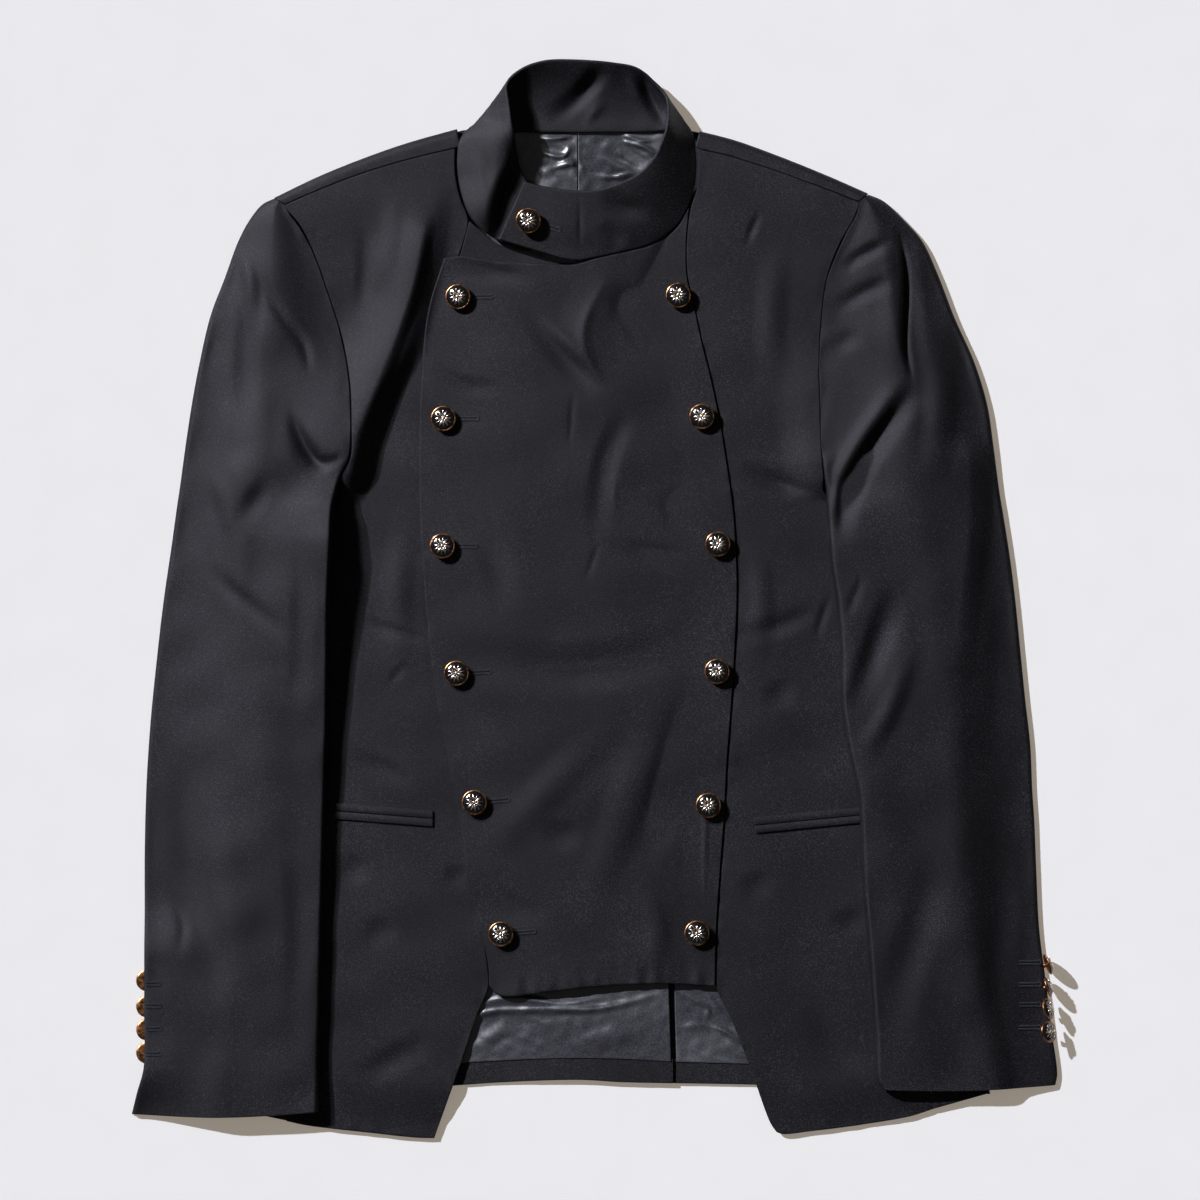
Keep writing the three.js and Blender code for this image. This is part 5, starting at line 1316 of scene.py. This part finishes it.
FRONT_BUTTONS = {
    "right": [(-95, 212.2), (-105.3, 127), (-106, 37.7), (-96.2, -51.4), (-83.6, -141.7),
              (-65.1, -233.8)],
    "left": [(59.1, 213.3), (75.6, 128.4), (86.6, 39.1), (86.2, -50), (80.1, -143.8),
             (72, -233.1)],
}
COLLAR_BUTTON = (-45.8, 265.2, 16.6)
COLLAR_BUTTON_AXIS = (-0.02, -0.06, 1)
LEFT_CUFF_BUTTONS = [
    ((314.8, -256.2, 8.7), 20, -8), ((314.9, -271.7, 8.5), 18, 10),
    ((315.5, -286.9, 8.5), 16, 30), ((316.3, -302.8, 8.5), 14, 45),
]
RIGHT_CUFF_BUTTONS_Y = [-266.7, -285, -301.2, -317.4]
RIGHT_CUFF_BUTTON_X = -313.4
SLOPE_STEP = 6


def number(value):
    return float(np.asarray(value).reshape(-1)[0])


def height_at(top, x, y):
    return number(top(np.array([float(x)]), np.array([float(y)])))


def slope_at(top, x, y, step_x, step_y):
    fall = height_at(top, x - step_x, y - step_y) - height_at(top, x + step_x, y + step_y)
    return fall / (2 * SLOPE_STEP)


def make_buttons():
    for side, places in FRONT_BUTTONS.items():
        for i, (x, y) in enumerate(places):
            axis = (slope_at(plastron_top, x, y, SLOPE_STEP, 0),
                    slope_at(plastron_top, x, y, 0, SLOPE_STEP), 1)
            base = (x, y, height_at(plastron_top, x, y) + 0.1)
            make_button(f"button_front_{side}_{i + 1}", FRONT_BUTTON_DIAMETER, base, axis, i * 0.9)
    make_button("button_collar", FRONT_BUTTON_DIAMETER, COLLAR_BUTTON, COLLAR_BUTTON_AXIS, 0.4)
    for i, (base, turn, up) in enumerate(LEFT_CUFF_BUTTONS):
        plan, rise = math.radians(turn), math.radians(up)
        axis = (math.cos(rise) * math.cos(plan), math.cos(rise) * math.sin(plan), math.sin(rise))
        make_button(f"button_cuff_left_{i + 1}", CUFF_BUTTON_DIAMETER, base, axis, i * 0.7)
    for i, y in enumerate(RIGHT_CUFF_BUTTONS_Y):
        x = np.array([RIGHT_CUFF_BUTTON_X])
        base = (RIGHT_CUFF_BUTTON_X, y, number(support_of("right", x, np.array([y]))) - SEAM_GAP)
        make_button(f"button_cuff_right_{i + 1}", CUFF_BUTTON_DIAMETER, base, (0, 0.001, -1), i)


# Buttonholes, worked in thread: rows of stitches on both sides of a cut, and a round end
BUTTONHOLE_LENGTH = 23
CUFF_HOLE_LENGTH = 14
STITCH_STEP = 0.75
STITCH_LENGTH = 1.5
STITCH_RADIUS = 0.36
STITCH_OFFSET = 0.35
STITCH_SIDES = 6
STITCH_RINGS = ((0, 0.45), (0.2, 0.95), (0.8, 0.95), (1, 0.45))
ROUND_END = 1.6
RAY_START = 60


def surface_height(cloth, x, y):
    """The height of a cloth piece's upper face at x, y"""
    above = ((x - ORIGIN[0]) * MM, (y - ORIGIN[1]) * MM, RAY_START * MM)
    hit, place, _, _ = cloth.ray_cast(above, (0, 0, -1))
    return place[2] / MM if hit else None


def stitch(points, faces, start, end, radius):
    """A plump thread bar between two places"""
    start, end = np.array(start), np.array(end)
    along = end - start
    side = np.array([-along[1], along[0], 0]) / max(np.hypot(along[0], along[1]), 1e-9)
    up = np.array([0, 0, 1.0])
    first = len(points)
    for share, size in STITCH_RINGS:
        centre = start + along * share
        for k in range(STITCH_SIDES):
            angle = 2 * math.pi * k / STITCH_SIDES
            offset = side * math.cos(angle) + up * math.sin(angle)
            points.append((centre + offset * radius * size).tolist())
    for ring in range(len(STITCH_RINGS) - 1):
        for k in range(STITCH_SIDES):
            a = first + ring * STITCH_SIDES + k
            b = first + ring * STITCH_SIDES + (k + 1) % STITCH_SIDES
            faces.append((a, b, b + STITCH_SIDES, a + STITCH_SIDES))
    last = len(points) - STITCH_SIDES
    faces.append(tuple(first + k for k in reversed(range(STITCH_SIDES))))
    faces.append(tuple(last + k for k in range(STITCH_SIDES)))


def buttonhole(points, faces, cloth, x, y, turn, length):
    """Adds the stitches of a buttonhole that starts at x, y and runs along turn"""
    cos, sin = math.cos(math.radians(turn)), math.sin(math.radians(turn))
    bars = []
    for k in range(int(length / STITCH_STEP)):
        along = k * STITCH_STEP
        wobble = 0.15 * math.sin(k * 2.1)
        for sign in (-1, 1):
            near, far = sign * STITCH_OFFSET, sign * (STITCH_OFFSET + STITCH_LENGTH + wobble)
            bars.append(((along, near), (along + 0.1, far)))
    near, far = ROUND_END * 0.5, ROUND_END * 0.5 + STITCH_LENGTH
    for angle in np.radians(np.linspace(-110, 110, 9)):
        bars.append(((length + near * math.cos(angle), near * math.sin(angle)),
                     (length + far * math.cos(angle), far * math.sin(angle))))
    for bar in bars:
        ends = []
        for along, off in bar:
            px, py = x + along * cos - off * sin, y + along * sin + off * cos
            z = surface_height(cloth, px, py)
            if z is not None:
                ends.append((px, py, z + 0.1))
        if len(ends) == 2:
            stitch(points, faces, *ends, STITCH_RADIUS)


def make_buttonholes(name, cloth, holes):
    points, faces = [], []
    for hole in holes:
        buttonhole(points, faces, cloth, *hole)
    piece = make_object(name, points, faces, [THREAD])
    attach(piece, "root")


FRONT_HOLE_TURNS = [0, 0, 0, 3, 5, 5]
FRONT_HOLES = [(x + 3, y, turn, BUTTONHOLE_LENGTH - 3)
               for (x, y), turn in zip(FRONT_BUTTONS["right"], FRONT_HOLE_TURNS)]
COLLAR_HOLES = [(-43, 264.4, -17, 19)]
LEFT_CUFF_HOLES = [(298, y, 0, CUFF_HOLE_LENGTH) for y in (-254.1, -269.5, -283.5, -299.6)]
RIGHT_CUFF_HOLES = [(-313.5, y, 0, CUFF_HOLE_LENGTH - 5)
                    for y in (-268.8, -284.2, -300.3, -317.8)]


# Camera, floor and light
CAMERA_PLACE = (3.85, -0.3)
CAMERA_HEIGHT = 5.0
FIELD = 0.84
SENSOR = 36
FOCUS_PLANE = 0.01
FLOOR_DROP = 0.0003
# Warm glow of the floor: painted fill light that lifts its shadows, not a lamp
FLOOR_FILL_GLOW = (0.24, 0.205, 0.168, 1)
SUN_TRAVEL = (0.8, -0.6)
SUN_ELEVATION = 32
SUN_SOFTNESS = 1.3
SUN_PLACE = (-1.5, 1.3, 1.6)
SUN_STRENGTH = 4.5
SUN_COLOUR = (0.86, 0.91, 1.0)
FILL_COLOUR = (1.0, 0.97, 0.93, 1)
FILL_STRENGTH = 0.065
SHEEN_LAMP_PLACE = (-1.4, 1.4, 1.2)
SHEEN_LAMP_AIM = (-0.05, 0.1, 0)
SHEEN_LAMP_POWER = 78
SHEEN_LAMP_SIZE = 0.23
SHEEN_LAMP_COLOUR = (0.9, 0.92, 1)
FLOOR_SIZE = 12


def make_camera():
    camera = bpy.data.cameras.new("camera")
    camera.sensor_width = SENSOR
    camera.lens = SENSOR * (CAMERA_HEIGHT - FOCUS_PLANE) / FIELD
    camera.clip_end = 100
    holder = bpy.data.objects.new("camera", camera)
    holder.location = (CAMERA_PLACE[0] * MM, CAMERA_PLACE[1] * MM, CAMERA_HEIGHT)
    bpy.context.scene.collection.objects.link(holder)
    bpy.context.scene.camera = holder


def make_floor():
    mesh = bpy.data.meshes.new("floor")
    signs = [(-1, -1), (1, -1), (1, 1), (-1, 1)]
    corners = [(x * FLOOR_SIZE, y * FLOOR_SIZE, -FLOOR_DROP) for x, y in signs]
    mesh.from_pydata(corners, [], [(0, 1, 2, 3)])
    floor = bpy.data.objects.new("floor", mesh)
    bpy.context.scene.collection.objects.link(floor)
    mesh.materials.append(paper_material())


def make_lamp(name, kind, energy, colour, location, direction):
    lamp = bpy.data.lights.new(name, kind)
    lamp.energy = energy
    lamp.color = colour
    holder = bpy.data.objects.new(name, lamp)
    holder.location = location
    holder.rotation_euler = direction.to_track_quat("-Z", "Y").to_euler()
    bpy.context.scene.collection.objects.link(holder)
    return lamp, holder


def make_light():
    """A sun, an even fill, and a lamp that gives gloss only, as a softbox would"""
    rise = math.radians(SUN_ELEVATION)
    level = math.cos(rise)
    travel = Vector((SUN_TRAVEL[0] * level, SUN_TRAVEL[1] * level, -math.sin(rise)))
    sun, _ = make_lamp("sun", "SUN", SUN_STRENGTH, SUN_COLOUR, SUN_PLACE, travel)
    sun.angle = math.radians(SUN_SOFTNESS)
    aim = Vector(SHEEN_LAMP_AIM) - Vector(SHEEN_LAMP_PLACE)
    gloss, holder = make_lamp("sheen_lamp", "AREA", SHEEN_LAMP_POWER, SHEEN_LAMP_COLOUR,
                              SHEEN_LAMP_PLACE, aim)
    gloss.size = SHEEN_LAMP_SIZE
    holder.visible_diffuse = False
    world = bpy.data.worlds.new("fill")
    world.use_nodes = True
    background = world.node_tree.nodes["Background"]
    background.inputs["Color"].default_value = FILL_COLOUR
    background.inputs["Strength"].default_value = FILL_STRENGTH
    bpy.context.scene.world = world
    bpy.context.scene.view_settings.view_transform = "Standard"


make_camera()
make_floor()
make_light()

make_back("right", RIGHT_BACK, RIGHT_STRIP, vent_lift)
make_back("left", LEFT_BACK, LEFT_STRIP, no_lift)
make_side("right", RIGHT_SIDE, RIGHT_SIDE_ENDS)
make_side("left", LEFT_SIDE, LEFT_SIDE_ENDS)
make_front("front_right", RIGHT_FRONT, right_front_top, FRONT_WALL, 80, 260,
           ["bottom"])
make_front("underlap_right", UNDERLAP, underlap_top, FRONT_WALL, 30, 80, ["top"])
make_front("front_left", LEFT_FRONT, left_front_top, FRONT_WALL, 80, 260,
           ["bottom"])
plastron = make_front("plastron_left", PLASTRON, plastron_top, PLASTRON_WALL, 136, 290,
                      ["left", "bottom", "top"],
                      PLASTRON_PUCKER, HEM_PUCKER)
sleeve_right = make_sleeve("right", RIGHT_SLEEVE, RIGHT_SLEEVE_FOLDS, RIGHT_SLEEVE_CREASES)
sleeve_left = make_sleeve("left", LEFT_SLEEVE, LEFT_SLEEVE_FOLDS, LEFT_SLEEVE_CREASES)
make_under_sleeve("right", RIGHT_SLEEVE)
make_under_sleeve("left", LEFT_SLEEVE)
collar = make_collar()
make_lining("lining_neck_right", NECK_LINING_RIGHT, 72, 96, NECK_LINING_FOLDS, no_lift, 0.6)
make_lining("lining_neck_left", NECK_LINING_LEFT, 72, 96, NECK_LINING_FOLDS, no_lift, 0.6)
make_lining("lining_hem_right", HEM_LINING_RIGHT, 190, 56, HEM_LINING_FOLDS, vent_lift, 0.3)
make_lining("lining_hem_left", HEM_LINING_LEFT, 104, 56, HEM_LINING_FOLDS, no_lift, 0.3)
for welt_side, front_top in (("right", right_front_top), ("left", left_front_top)):
    welt_top, welt_middle, welt_bottom = WELTS[welt_side]
    lowered = [(x, y - SEAM_GAP) for x, y in welt_middle]
    make_welt(f"welt_upper_{welt_side}", welt_top, welt_middle, front_top)
    make_welt(f"welt_lower_{welt_side}", lowered, welt_bottom, front_top)
make_buttons()
make_buttonholes("buttonholes_front", plastron, FRONT_HOLES)
make_buttonholes("buttonhole_collar", collar, COLLAR_HOLES)
make_buttonholes("buttonholes_cuff_left", sleeve_left, LEFT_CUFF_HOLES)
make_buttonholes("buttonholes_cuff_right", sleeve_right, RIGHT_CUFF_HOLES)
